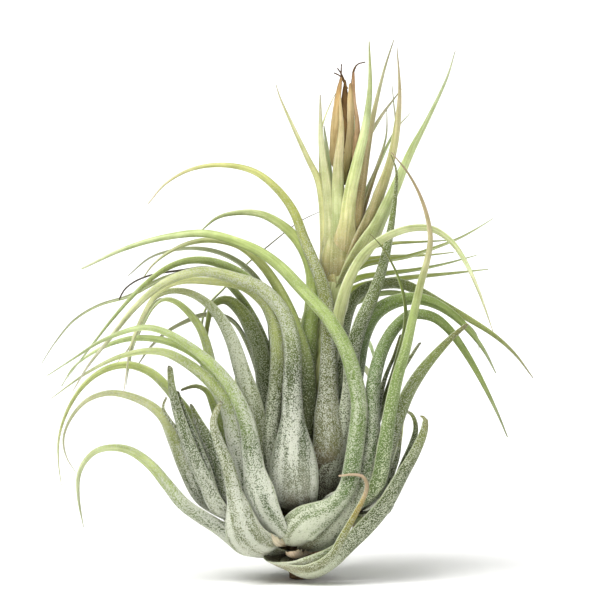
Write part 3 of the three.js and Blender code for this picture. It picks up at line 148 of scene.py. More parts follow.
# ---- the plant's pieces: midribs, widths and places ----
# a row without an azimuth has its own root at the start of its rib
LEAVES = [
    # front and sides, from the lowest in
    dict(name="leaf_front_lowest", sheath=13.5, blade=7.4, tone="green", tip=2, blunt=2.6, neck=2.6,
        face=50, turned=0.2, root=0.85, widest=0.36,
        rib=[(-7, -6, 7.2), (-5, -12.5, 4.7), (2, -15.5, 3.6), (9, -17.8, 6), (15, -19.2, 10.4),
        (21.8, -19, 16.5), (28.6, -17.5, 24.6), (34.5, -16, 35.2), (39, -15, 43.3),
        (41.5, -14, 49.5), (41.6, -13, 53.4), (39.8, -12.5, 54)]),
    dict(name="leaf_front_old", sheath=8, blade=4.8, tone="green", neck=2, face=40, tip=0.8,
        blunt=0.85,
        rib=[(-4, -10, 6.2), (-2, -16, 4.3), (2.5, -20.5, 3.2), (7.5, -22.6, 5), (11.6, -24.2, 9),
        (13.9, -25, 13.6), (16.7, -25.5, 18.8), (19, -25.5, 23), (21.4, -25, 27.7),
        (22.3, -25, 31.6), (20.8, -25, 34.4), (17.3, -25, 35), (12.7, -24.5, 34.5)]),
    dict(name="leaf_left_lowest", sheath=14, blade=6.6, tone="silver", blunt=1.3, face=30, neck=2.4,
        widest=0.5, turned=0.2,
        rib=[(-2, -1, 8.5), (-9, -7, 8), (-18.3, -11, 12), (-26, -13, 16), (-33.3, -14, 20.4),
        (-39.4, -15, 25), (-44.2, -15, 31), (-50, -16, 38), (-56.7, -16, 42.6), (-62.7, -17, 43.6),
        (-67.7, -17, 42.4), (-71.3, -17, 39), (-73.3, -17, 34.3), (-73.3, -17, 26.7),
        (-71.7, -17, 17.3)]),
    dict(name="leaf_front_short", sheath=14.5, blade=5, tone="silver", tip=1.6, neck=2.9, root=0.8,
        widest=0.45, face=45, turned=0.2,
        rib=[(-4, -5, 13), (-9.5, -12.5, 11.6), (-14.6, -19, 12.2), (-17.9, -22.8, 15.4),
        (-19.6, -24, 19.8), (-20.6, -24.5, 24.2), (-21.8, -24.5, 28.6), (-22.8, -24.5, 33.2),
        (-24.5, -24.5, 39.3), (-27.2, -24, 46), (-28.7, -23, 52.7), (-26, -21, 59.3)]),
    dict(name="leaf_right_long", sheath=11, blade=6.4, tone="green", blunt=1.4, neck=3, widest=0.5,
        face=35, turned=0.15,
        rib=[(3, -4, 9), (4, -13, 10), (8.8, -18, 14.8), (13.4, -19.5, 20), (17.8, -19.3, 26.4),
        (22, -18, 34.6), (24.3, -17, 46), (24.3, -16.5, 61), (25.7, -15.5, 70), (28.3, -13.5, 77.7),
        (32.3, -12, 84), (37.3, -11.5, 87.7), (44, -11, 87), (49, -10, 83.3), (53.3, -10, 77.7),
        (57.7, -9, 70.7), (62, -9, 62.7), (66, -9, 54.3), (69, -9, 47)]),
    dict(name="leaf_front_arch", sheath=12.5, blade=6, tone="green", blunt=1.5, tip=0.6, neck=3,
        widest=0.52, root=0.7, face=50, turned=0.12,
        rib=[(1.5, -5, 12), (-1.6, -15, 12), (-1.6, -20, 15.4), (1.6, -22.4, 18.8), (6, -23, 21.2),
        (10.5, -23.2, 24), (14, -23, 27.6), (16.2, -22.8, 32), (17.3, -22.3, 37.5), (18.7, -21, 47),
        (19.6, -19.5, 58), (17.3, -18.5, 70), (14.3, -18, 78.3), (9.3, -17, 86.7), (4, -16, 92.7),
        (-1, -15, 98), (-5.7, -14, 103), (-12.7, -13, 108.3), (-21.7, -12, 112.3),
        (-31.7, -11, 114.8), (-45, -10, 113.5), (-58.3, -9, 109.7), (-72.7, -8, 103)]),
    dict(name="leaf_front_hood", azimuth=-38, layer=5.6, sheath=14, blade=9, tone="silver", tip=1.8,
        blunt=1.1,
        rib=[(24.5, -15, 29.5), (28.3, -16, 41), (32, -16, 52), (36.3, -16, 62), (41.5, -15, 70),
        (46.8, -14.5, 76.4), (51, -14.5, 80.8), (55.7, -14, 84.7)]),
    dict(name="leaf_left_b", azimuth=-145, layer=7, sheath=15, blade=7, tone="silver", blunt=1.1,
        rib=[(-22.3, -16.5, 46), (-25, -18, 58), (-31.3, -20, 66.6), (-43.3, -23, 74.6),
        (-50.3, -25, 75.6), (-60.3, -27, 73.6), (-70.3, -29, 68.6), (-82.3, -31, 60)]),
    dict(name="leaf_left_j", azimuth=-168, layer=7.8, sheath=13, blade=8.2, tone="silver",
        blunt=1.2,
        rib=[(-33, -9, 26.5), (-38.3, -10.5, 36), (-42.3, -12.5, 46), (-45.7, -16, 53.7),
        (-51.7, -17, 58.7), (-62.7, -19, 61.8), (-70.7, -20, 59.3), (-76, -21, 53.3),
        (-78.3, -21, 46.7), (-77.3, -21, 40.7), (-74, -21, 35.3)]),
    dict(name="leaf_left_a", sheath=12.5, blade=7.6, tone="silver", blunt=0.75, neck=3.5,
        widest=0.68, root=-0.4,
        rib=[(-1, -5, 14.5), (-3, -12, 13.5), (-6.7, -19, 14.5), (-9.7, -21.8, 19),
        (-12.1, -22.6, 24), (-13.6, -22.8, 28.7), (-15.2, -22.5, 34), (-16.4, -22.3, 40.7),
        (-18.3, -22.5, 52.7), (-24.7, -24, 66), (-36.7, -27, 77.3), (-50, -30, 83.4),
        (-65, -33, 79.3), (-73.3, -34, 74.2), (-83.3, -35, 67.7)]),
    dict(name="leaf_left_g", azimuth=-150, layer=5.6, sheath=12, blade=6.4, tone="green",
        rib=[(-22.7, -12.5, 52.7), (-26.5, -12.5, 63.5), (-31.7, -13, 71.6), (-37.5, -13.5, 76),
        (-46.7, -15, 79.3), (-56.7, -16, 79.6), (-66.7, -17, 76.2), (-75, -18, 70.3),
        (-79, -19, 64)]),
    dict(name="leaf_right_tall", azimuth=-52, layer=7.1, sheath=12, blade=6.4, tone="lime",
        blunt=1.1,
        rib=[(25, -18, 29.3), (28.3, -19.5, 42.7), (30, -20.5, 54.3), (32.3, -21.5, 66),
        (35.3, -22, 76.7), (37.7, -22, 87.7), (40, -21.5, 97.7), (42.3, -20.5, 106),
        (43.3, -19.5, 112.7), (42.3, -18.5, 120), (39.7, -17, 127.7), (35.7, -15.5, 135),
        (30.3, -14, 141.7)]),
    dict(name="leaf_left_short", azimuth=-168, layer=4.8, sheath=10, blade=8, tone="olive", tip=1.5,
        rib=[(-21.7, -7, 38), (-26.3, -8, 49.3), (-29, -8.5, 57.5), (-31.2, -9, 62.4),
        (-34.6, -9, 64), (-39.7, -9, 62.7)]),
    dict(name="leaf_left_e", azimuth=178, layer=5.2, sheath=12, blade=9.4, tone="green",
        rib=[(-23, -4, 48), (-28, -5, 64), (-30.7, -6, 76), (-33.3, -7, 83.3), (-37.3, -8, 88.7),
        (-41.7, -9, 92.3), (-45.7, -10, 93), (-49.3, -11, 90), (-52.3, -12, 84.3),
        (-55.3, -13, 77.7), (-56.7, -13, 71), (-57.7, -14, 64.3)]),
    dict(name="leaf_left_i", azimuth=174, layer=6.6, sheath=13, blade=7.5, tone="green", blunt=1.2,
        face=45,
        rib=[(-27, -5, 36), (-34, -8, 49.3), (-41, -11, 59.3), (-45, -12, 64.3), (-50, -13, 68.7),
        (-57.3, -14, 71), (-65, -15, 69.3), (-71.7, -17, 64.3), (-76.7, -18, 56.7),
        (-79.7, -19, 47.7), (-80, -19, 39.3), (-79, -19, 31)]),
    dict(name="leaf_right_r", azimuth=-5, layer=5, sheath=11, blade=5, tone="olive",
        rib=[(22, -2, 42), (28.3, -5, 59.3), (32.6, -10, 74), (35, -15, 85.3), (34.7, -16.5, 92.7),
        (32.7, -16.5, 100), (29.3, -17, 107), (26, -18, 111.7), (23, -19, 114.7)]),
    dict(name="leaf_left_m", azimuth=-160, layer=4.5, sheath=13, blade=9.6, tone="green",
        rib=[(-16.7, -11, 57.7), (-20, -11.5, 69.3), (-23, -12.5, 79.3), (-26.7, -13.5, 86.7),
        (-31, -14.5, 91.7), (-36.7, -15.5, 95), (-42.7, -16.5, 95.7), (-48.3, -17, 93.3),
        (-52.3, -18, 86.7), (-56, -19, 77.7), (-60.7, -20, 71.7)]),
    dict(name="leaf_right_d", azimuth=-10, layer=4, sheath=12, blade=9.5, tone="green", face=60,
        turned=0.25,
        rib=[(16, -5, 52.7), (19, -6, 71.5), (21, -6, 80.5), (24.7, -6, 87.5), (30.5, -5.5, 91.5),
        (38.3, -5, 93), (45, -5, 91.3), (51.7, -5, 87), (57, -5, 81.6), (61.4, -5, 75.6),
        (65.2, -5, 68.3)]),
    dict(name="leaf_front_narrow", azimuth=-135, layer=3.8, sheath=12, blade=6.4, tone="green",
        rib=[(-10.7, -12, 46), (-8.3, -11.5, 65), (-8, -11.5, 78), (-10.3, -12.5, 89),
        (-18.3, -14.5, 96.7), (-29.3, -17, 98.7), (-40, -19.5, 98.6), (-46.7, -21.5, 95.3),
        (-51.7, -23.5, 87.7), (-55.7, -24.5, 77.7), (-58.3, -25.5, 62)]),
    dict(name="leaf_front_centre", sheath=16.5, blade=7, tone="silver", blunt=0.9, neck=2.9,
        widest=0.5, root=0.42,
        rib=[(0, -4, 25), (-1, -11, 23), (-1.8, -16.5, 24.2), (-2, -19, 29), (-2.2, -19.5, 35.5),
        (-2.4, -19, 44), (-2.6, -18, 53), (-2.7, -17, 62.7), (-2.7, -16, 77.7), (-5.3, -16, 87.7),
        (-12.3, -17, 96), (-21.7, -19, 99.9), (-32.5, -21.5, 102), (-43.5, -24, 99),
        (-53.5, -27, 91.2), (-62.5, -29, 80.2), (-70, -30, 70.8), (-75, -31, 62.5)]),
    dict(name="leaf_right_b", azimuth=-40, layer=3.5, sheath=12, blade=7, tone="green", blunt=1.7,
        rib=[(15, -10, 49.3), (17.3, -10, 64.3), (17.8, -10, 74.3), (20.5, -10, 84.3),
        (24.3, -10, 93.3), (27.2, -10, 102), (29.2, -9, 110.3), (30.8, -8, 120),
        (31.9, -7.2, 129.3), (32, -6.6, 136), (30.3, -6, 141)]),
    dict(name="leaf_right_low", azimuth=20, layer=3.3, sheath=11, blade=9.5, tone="olive", face=65,
        turned=0.25,
        rib=[(13, 6, 52), (14, 7, 70), (15, 7.5, 84), (18.7, 8, 93.6), (24.6, 9, 97.2),
        (33.3, 10, 98), (40.7, 10, 95), (48.3, 10, 90.7), (56.7, 10, 86), (65, 10, 80.7),
        (71.7, 10, 74.7), (78, 10, 66.5)]),
    dict(name="leaf_left_dark", azimuth=165, layer=3, sheath=12, blade=10.2, tone="olive", tip=1.6,
        blunt=1.3, face=62, turned=0.25,
        rib=[(-11.7, 3, 59.3), (-13, 2, 71), (-16, 1, 81), (-20, 0, 88.7), (-24.7, -1, 92.6),
        (-29, -1.5, 91), (-31, -1.5, 84), (-31.7, -1.5, 76), (-33.5, -1.5, 67.7)]),
    dict(name="leaf_left_lime", azimuth=-140, layer=2.2, sheath=10, blade=6.6, tone="lime",
        rib=[(-5, -5, 59.3), (-6, -5.5, 75), (-11.8, -8, 91.6), (-18.3, -10, 99.9),
        (-28.3, -13, 105), (-36.7, -15.5, 105.6), (-44.3, -18, 103), (-53.3, -20.5, 96),
        (-62.3, -22.5, 86), (-69.3, -24, 77), (-79, -25, 64.3)]),
    dict(name="leaf_front_tall", azimuth=-75, layer=2, sheath=11.5, blade=6.5, tone="silver",
        neck=4.2, blunt=0.8, widest=0.5,
        rib=[(9.7, -12, 42.7), (9.3, -12, 56), (9.7, -11, 69.3), (9.7, -10, 81), (9, -9.5, 91),
        (7, -9, 99.3), (4.3, -8, 106), (1.3, -7, 113.3), (-2, -6, 122), (-7.3, -5, 129.3),
        (-15, -4, 135.3), (-25, -3, 137.6), (-36, -2, 136.3), (-45, -1, 131.3), (-50.7, 0, 124.7)]),
    dict(name="leaf_left_thin", azimuth=150, layer=2, sheath=10, blade=6.5, tone="green", blunt=1.2,
        face=60, turned=0.25,
        rib=[(-8, 4, 60), (-12.5, 4, 79.3), (-19.5, 2.5, 92.7), (-26, 0, 99.3),
        (-33.3, -3.5, 102.2), (-45, -6, 100), (-56.7, -8, 94), (-66.7, -9, 91), (-75, -10, 86),
        (-81.7, -11, 78), (-85.7, -12, 71.7)]),
    dict(name="leaf_left_grey", azimuth=130, layer=1.4, sheath=9, blade=5.6, tone="green",
        rib=[(-6, 5, 62), (-9, 3, 77.7), (-10.7, 1, 91), (-14, 2, 98.7), (-19.3, 2, 104.3),
        (-26, 2, 108), (-33.3, 1, 109.7), (-41.7, 1, 109.3), (-50, 0, 106.7), (-57.3, -1, 100.7)]),
    dict(name="leaf_right_arch", azimuth=-30, layer=1.5, sheath=8.5, blade=6.2, tone="bract",
        blunt=1.8,
        rib=[(9, -4, 62), (11.5, -6, 76), (13, -8, 86), (14.7, -9.5, 93.7), (17.3, -11, 101),
        (21.7, -13, 108.3), (28.3, -14.3, 113.3), (36.7, -14.3, 116.3), (44, -14.3, 116),
        (50, -15, 112), (54.7, -16, 105.3), (58.7, -17, 96.7), (61.7, -17, 88.7), (64, -18, 82)]),
    dict(name="leaf_front_inner", azimuth=-110, layer=1, sheath=10, blade=5.8, tone="lime",
        rib=[(2.2, -7, 52), (2.7, -7, 64.3), (1.7, -8, 72.7), (-0.7, -8.5, 81), (-4, -9, 90),
        (-8.3, -9, 98.3), (-13.3, -9, 105), (-20, -8.5, 110.5), (-28.3, -8, 112.5),
        (-36.7, -8, 111.6), (-44, -8, 108.3), (-49.3, -8, 104), (-52.3, -8, 99.7)]),
    dict(name="leaf_left_top", azimuth=-150, layer=0.6, sheath=10, blade=7.4, tone="lime", face=55,
        turned=0.25, blunt=1.4,
        rib=[(0, -3, 60), (2.5, -4, 78), (4, -4, 92.7), (4, -3.5, 101), (2, -3, 107.7),
        (-1.3, -2.5, 113), (-6.7, -2, 118), (-13.3, -1.5, 121.3), (-21, -1.5, 121.7),
        (-27.7, -1.5, 120), (-33, -1.5, 115.7)]),
    # right side, behind
    dict(name="leaf_right_c", azimuth=35, layer=4.5, sheath=10, blade=6.5, tone="olive", face=60,
        blunt=1.4,
        rib=[(14, 11, 52), (13.5, 12, 69.3), (15, 13.5, 88.5), (23.3, 14.5, 93.7), (31.7, 15, 95),
        (40, 15, 92.7), (48.3, 15, 88.7), (55, 15, 85.3), (59.3, 14, 80.7), (60, 13, 74)]),
    dict(name="leaf_right_h", azimuth=50, layer=2, sheath=9, blade=5.6, tone="lime", blunt=1.5,
        rib=[(7, 8, 62), (10, 10, 80), (13, 12, 96), (20, 13, 103.6), (28.3, 14, 105.8),
        (36.7, 14, 107.3), (45, 14, 110), (53.3, 13, 113.3), (60, 13, 117), (64.7, 12, 120)]),
    dict(name="leaf_right_h2", azimuth=65, layer=3.3, sheath=9, blade=5, tone="lime", blunt=1.5,
        rib=[(7, 14, 60), (8.3, 16, 80), (13.3, 17.5, 95.7), (19.3, 18, 99.7), (28.3, 18.5, 101.4),
        (38.3, 18.5, 102.7), (48.3, 18, 104.7), (59.3, 17, 107.7)]),
    dict(name="leaf_right_h3", azimuth=78, layer=5, sheath=9, blade=5, tone="green", blunt=1.5,
        rib=[(5, 19, 58), (6.7, 21, 78), (12.7, 23, 92.5), (20, 23.5, 97), (28.3, 23.5, 98.8),
        (38.3, 23, 100.3), (50, 22.5, 101.5), (63.3, 21, 103)]),
    dict(name="leaf_right_h4", azimuth=92, layer=4.2, sheath=8, blade=3.8, tone="green", blunt=1.5,
        rib=[(1, 16, 60), (3, 19, 80), (9, 22, 98), (17, 23.5, 105), (27, 24, 107),
        (43.3, 23.5, 107.8), (51.7, 23, 108.7)]),
    dict(name="leaf_right_h5", azimuth=100, layer=6, sheath=9, blade=4.4, tone="green", blunt=1.5,
        rib=[(-2, 23, 55), (0, 27, 78), (6, 29, 97), (14, 30, 106.5), (22.7, 30, 110.2),
        (31.7, 29.5, 111.8), (41.7, 28.5, 112.3), (49.3, 27, 112.7)]),
    # left side, behind
    dict(name="leaf_left_thread", azimuth=150, layer=6.5, sheath=8, blade=3, tone="green",
        rib=[(-22, 11, 48), (-28, 8, 66), (-32.6, 6.5, 80), (-31.7, 7, 89.3), (-25, 8, 97),
        (-19, 9, 103.6), (-10.7, 10, 110.7), (0, 11, 119), (6.7, 12, 122.3)]),
    dict(name="leaf_left_side", azimuth=140, layer=4, sheath=9, blade=6, tone="green", face=50,
        rib=[(-12, 11, 58), (-16.7, 9, 76), (-23, 7, 86), (-31.7, 4.5, 87.6), (-38.3, 2.5, 85.3),
        (-44.3, 0.5, 82), (-50, -2, 76.7), (-54, -4, 71)]),
    dict(name="leaf_left_dry_tip", azimuth=170, layer=1.8, sheath=8, blade=3.4, tone="olive",
        blunt=1.6, tip=0.9,
        rib=[(-5.5, 1, 60), (-8.3, -1.5, 78), (-14, -4, 93), (-24, -5, 101.4), (-31, -6, 103.6),
        (-39.3, -8, 102.6), (-49.3, -11, 101), (-55, -13, 98.7), (-58.3, -14, 96),
        (-60, -15, 92.7)]),
    # the back, which the front leaves hide
    dict(name="leaf_back_a", azimuth=90, layer=8, sheath=14, blade=7, tone="silver",
        rib=[(0, 24, 38), (1, 28, 53), (2, 34, 67), (3, 43, 75), (4, 53, 75), (5, 61, 67)]),
    dict(name="leaf_back_b", azimuth=122, layer=7, sheath=13, blade=6.5, tone="silver",
        rib=[(-14, 20, 40), (-16, 24, 54), (-18, 31, 65), (-20, 41, 69), (-21.5, 50, 65),
        (-22, 57, 57)]),
    dict(name="leaf_back_c", azimuth=60, layer=7, sheath=13, blade=6.5, tone="silver",
        rib=[(12, 20, 40), (15, 25, 55), (18, 33, 66), (21, 43, 70), (24, 53, 66), (26, 60, 57)]),
    dict(name="leaf_back_d", azimuth=105, layer=5.4, sheath=12, blade=6, tone="green",
        rib=[(-4, 15, 50), (-4, 19, 68), (-3, 26, 80), (-1, 36, 86), (1, 46, 85), (2, 55, 78)]),
    dict(name="leaf_back_e", azimuth=142, layer=5.6, sheath=12, blade=6, tone="green",
        rib=[(-16, 14, 44), (-15, 18, 58), (-12, 25, 70), (-9, 34, 76), (-8, 44, 76),
        (-8, 52, 69)]),
    dict(name="leaf_back_f", azimuth=38, layer=5.8, sheath=12, blade=6, tone="green",
        rib=[(16, 13, 44), (18, 18, 60), (20, 26, 72), (22, 35, 78), (24, 45, 77), (26, 53, 69)]),
    dict(name="leaf_back_g", azimuth=165, layer=8.4, sheath=13, blade=7, tone="silver",
        rib=[(-29, 9, 26), (-34, 14, 39), (-36, 21, 49), (-37, 31, 53), (-37, 41, 50),
        (-36, 48, 43)]),
    dict(name="leaf_back_h", azimuth=12, layer=8, sheath=13, blade=7, tone="silver",
        rib=[(27, 8, 28), (32, 12, 41), (34, 19, 53), (34, 29, 59), (33, 39, 57), (32, 47, 49)]),
    dict(name="leaf_back_i", azimuth=112, layer=9.4, sheath=13, blade=7, tone="silver",
        rib=[(-10, 28, 22), (-13, 36, 32), (-16, 45, 38), (-18, 54, 37), (-19, 61, 31)]),
    dict(name="leaf_back_j", azimuth=66, layer=9.4, sheath=13, blade=7, tone="silver",
        rib=[(12, 27, 23), (15, 35, 35), (17, 44, 42), (18, 54, 42), (19, 61, 36)]),
]
SHOOTS = [
    dict(name="shoot_left", bulb=(-17.5, -10, 20.5), bulb_radius=3.4, tone="silver", leaves=[
        dict(sheath=9, blade=6.4, tip=2.4, blunt=1.5,
            rib=[(-26, -16.5, 22), (-32, -19, 32.7), (-37, -20, 44.3), (-40.6, -20.5, 55.3),
            (-42.5, -20.5, 63.3), (-43.2, -20.5, 71)]),
        dict(sheath=9, blade=7.4, tip=1.2, blunt=2,
            rib=[(-24, -13, 25), (-26.5, -14.5, 34), (-29.8, -15.5, 43), (-33.3, -16, 51),
            (-36.3, -16, 58.3)]),
        dict(sheath=6, blade=4, tip=1.4,
            rib=[(-26, -16, 23), (-31.5, -17.5, 38), (-36.2, -18, 50), (-38.9, -18, 57.7),
            (-40.7, -18, 62.6)]),
        dict(sheath=5, blade=3, tip=1.2,
            rib=[(-27, -15, 22), (-34, -17, 38), (-39.5, -18.5, 48), (-43.5, -19.5, 53.5),
            (-45.4, -19.5, 57.2), (-44.2, -19.5, 60.6)]),
    ]),
    dict(name="shoot_right", bulb=(18.5, -2.5, 20.5), bulb_radius=3.4, tone="silver", leaves=[
        dict(sheath=7, blade=5, tip=1.4,
            rib=[(27.5, -8, 22), (31.7, -10, 29.7), (35, -10.5, 38), (37.6, -10.5, 45),
            (38.6, -10, 50.5), (37.3, -9.5, 54.6), (35, -9, 56)]),
        dict(sheath=6, blade=4, tip=1.4,
            rib=[(26, -6, 23), (29.5, -6.5, 32), (32.6, -6.5, 41), (33.6, -6, 49.3)]),
        dict(sheath=7, blade=4.2, tip=1.2,
            rib=[(24, -5, 28), (24.5, -6.5, 42), (26, -8, 56), (28.3, -8.5, 66.7), (31.3, -8.5, 74),
            (33.6, -8, 81.3)]),
        dict(sheath=6, blade=4, tip=1.8, blunt=2.5,
            rib=[(26.5, -4, 28), (28, -5, 42), (29.6, -9, 56), (33.3, -11, 67.7), (37.3, -12, 74.6),
            (40, -12, 78.7)]),
    ]),
]
BRACTS = [
    dict(sheath=9, blade=4.4, blunt=1,
        rib=[(11, 0, 90), (8.6, -2, 101), (8, -3, 111), (7.3, -3.5, 124.3), (5.7, -4, 132.7),
        (2.3, -5, 140), (-2.3, -6, 150), (-6.7, -7, 160), (-8, -7.5, 164.3)]),
    dict(sheath=9, blade=4.4, blunt=1.2,
        rib=[(12, 0, 96), (10.4, -4, 108), (9.6, -5.5, 124.3), (8.4, -6.3, 134.3), (7, -7, 146),
        (6.7, -7.5, 161)]),
    dict(sheath=7, blade=3.1,
        rib=[(12.5, 0, 104), (8.5, 0, 118), (6.8, -1, 136), (7.3, -1.5, 150), (10, -2, 157.7),
        (12.7, -2, 163)]),
    dict(sheath=11.5, blade=5, blunt=1.2,
        rib=[(12.5, 0, 92), (12.4, -4.5, 104), (12.9, -6, 114), (12.7, -7, 126), (12.7, -7.7, 137),
        (13.7, -8.3, 149.3), (13.3, -8.5, 161)]),
    dict(sheath=11.5, blade=5.4, blunt=0.9,
        rib=[(13, 0, 94), (14.5, -5, 107), (15.6, -7, 118), (17, -8, 129), (19.3, -8.5, 139),
        (21.7, -8.5, 149.3), (23.3, -8.5, 162.7), (23, -8.5, 178.7)]),
    dict(sheath=10.5, blade=4.8, blunt=0.9,
        rib=[(14, 0, 100), (17.4, -3, 112), (19.9, -4, 126), (22.3, -3.5, 142), (24.9, -3, 156),
        (28.3, -2, 170), (31.3, -1.5, 179.4)]),
    dict(sheath=8, blade=4, blunt=1.1,
        rib=[(14, 0, 102), (18.5, 1.5, 114), (22.7, 2, 127.7), (26, 3, 137.7), (28.8, 4, 147.7),
        (29, 4.5, 157)]),
    dict(sheath=12.5, blade=5.8, blunt=1,
        rib=[(13.5, 0, 98), (18.8, -1.5, 109), (24.6, -1, 122), (29.6, 0, 136), (32.3, 0, 147.7),
        (33.3, -1, 161), (32.3, -2, 177.3)]),
    dict(sheath=12.5, blade=5.8, blunt=0.9,
        rib=[(13, 0, 94), (19, -3, 105), (26, -3.5, 117), (31.3, -3, 128), (36.7, -4, 141),
        (43.3, -5, 154.3), (49, -6, 166.7), (51.7, -7, 175.7)]),
    dict(sheath=7, blade=3.1,
        rib=[(15, 0, 112), (17.4, 4, 127), (21, 6, 142.7), (26.7, 7, 153.3), (34, 8, 163.3)]),
    dict(sheath=7, blade=3.5,
        rib=[(14, 0, 104), (21.5, 4, 119), (27, 5.5, 131), (30.9, 6, 143), (32, 6, 151),
        (31.4, 6, 157.7), (30.8, 6, 164.3)]),
    dict(sheath=7, blade=3.1,
        rib=[(14.5, 0, 108), (20, 6, 122), (26, 9, 137), (32.4, 10, 150), (37, 10, 155.3)]),
    dict(sheath=9, blade=4.7,
        rib=[(12.5, 0, 92), (11, 5, 106), (10, 7, 122), (9.4, 8, 138), (8, 9, 151)]),
    dict(sheath=9, blade=4.7,
        rib=[(13.5, 0, 98), (15.5, 5.5, 112), (17, 8, 128), (18, 9.5, 145), (17.4, 11, 160)]),
]
FLOWER_STRIPS = [
    dict(width=4.6,
        rib=[(13.6, -1, 132), (11.2, -2, 138.5), (11.2, -2.6, 149.3), (12.5, -2.4, 160),
        (13.7, -2, 167)]),
    dict(width=3.8,
        rib=[(15.5, -1.5, 132), (16.5, -3, 142.7), (17, -3.2, 154.3), (16.9, -2.8, 165)]),
    dict(width=4.8,
        rib=[(16, -0.5, 132), (18.8, -1, 142.7), (19, -1, 151), (17.9, -0.8, 159.3),
        (17.9, -0.8, 168.7)]),
    dict(width=4,
        rib=[(15, 0.5, 133), (14.5, 1.8, 142), (14.8, 2, 152), (15.2, 1.4, 163)]),
]
SCALES = [
    dict(sheath=6.5, blade=5, tip=1, blunt=1.2,
        rib=[(-4, -6, 13), (-5.5, -13, 12), (-8, -19.5, 12.5), (-10.4, -23, 15.6)]),
    dict(sheath=9, blade=7, tip=1.6, blunt=1.4,
        rib=[(0, -5, 9.6), (-1.2, -12, 8.6), (-2.4, -17.5, 8.5), (-3.2, -20.5, 9.6)]),
]
SCAPE = [(2.4, -0.5, 36), (4.6, 0, 55), (8.5, 0, 78), (12.5, 0, 98), (14.3, 0, 114), (15, 0, 128)]
SCAPE_RADII = [3.4, 2.6, 3, 4.8, 4.6, 1.6]
FLOWER_CORE = [(0, 131), (1.6, 132), (2.8, 140), (2.5, 152), (0.3, 166)]  # radius and height
FLOWER_CENTRE = (15, -0.6)
FLOWER_THREADS = [
    [(13.4, -1.6, 162), (13.7, -1.6, 168), (13.8, -1.5, 171.3)],
    [(15.8, -1.5, 163), (13.4, -1.7, 167.2), (11.2, -1.6, 168.4)],
    [(15.2, -1.2, 164), (14.4, -1.2, 166.6), (13.0, -1.4, 169.2), (12.4, -1.5, 169.9)],
    [(17.5, -0.5, 163), (17.8, -0.5, 169.1), (19.2, -0.6, 171.2), (21.8, -0.8, 172)],
    [(17.2, -0.4, 162), (17.6, -0.6, 167.6), (18.6, -0.8, 170.4)],
]

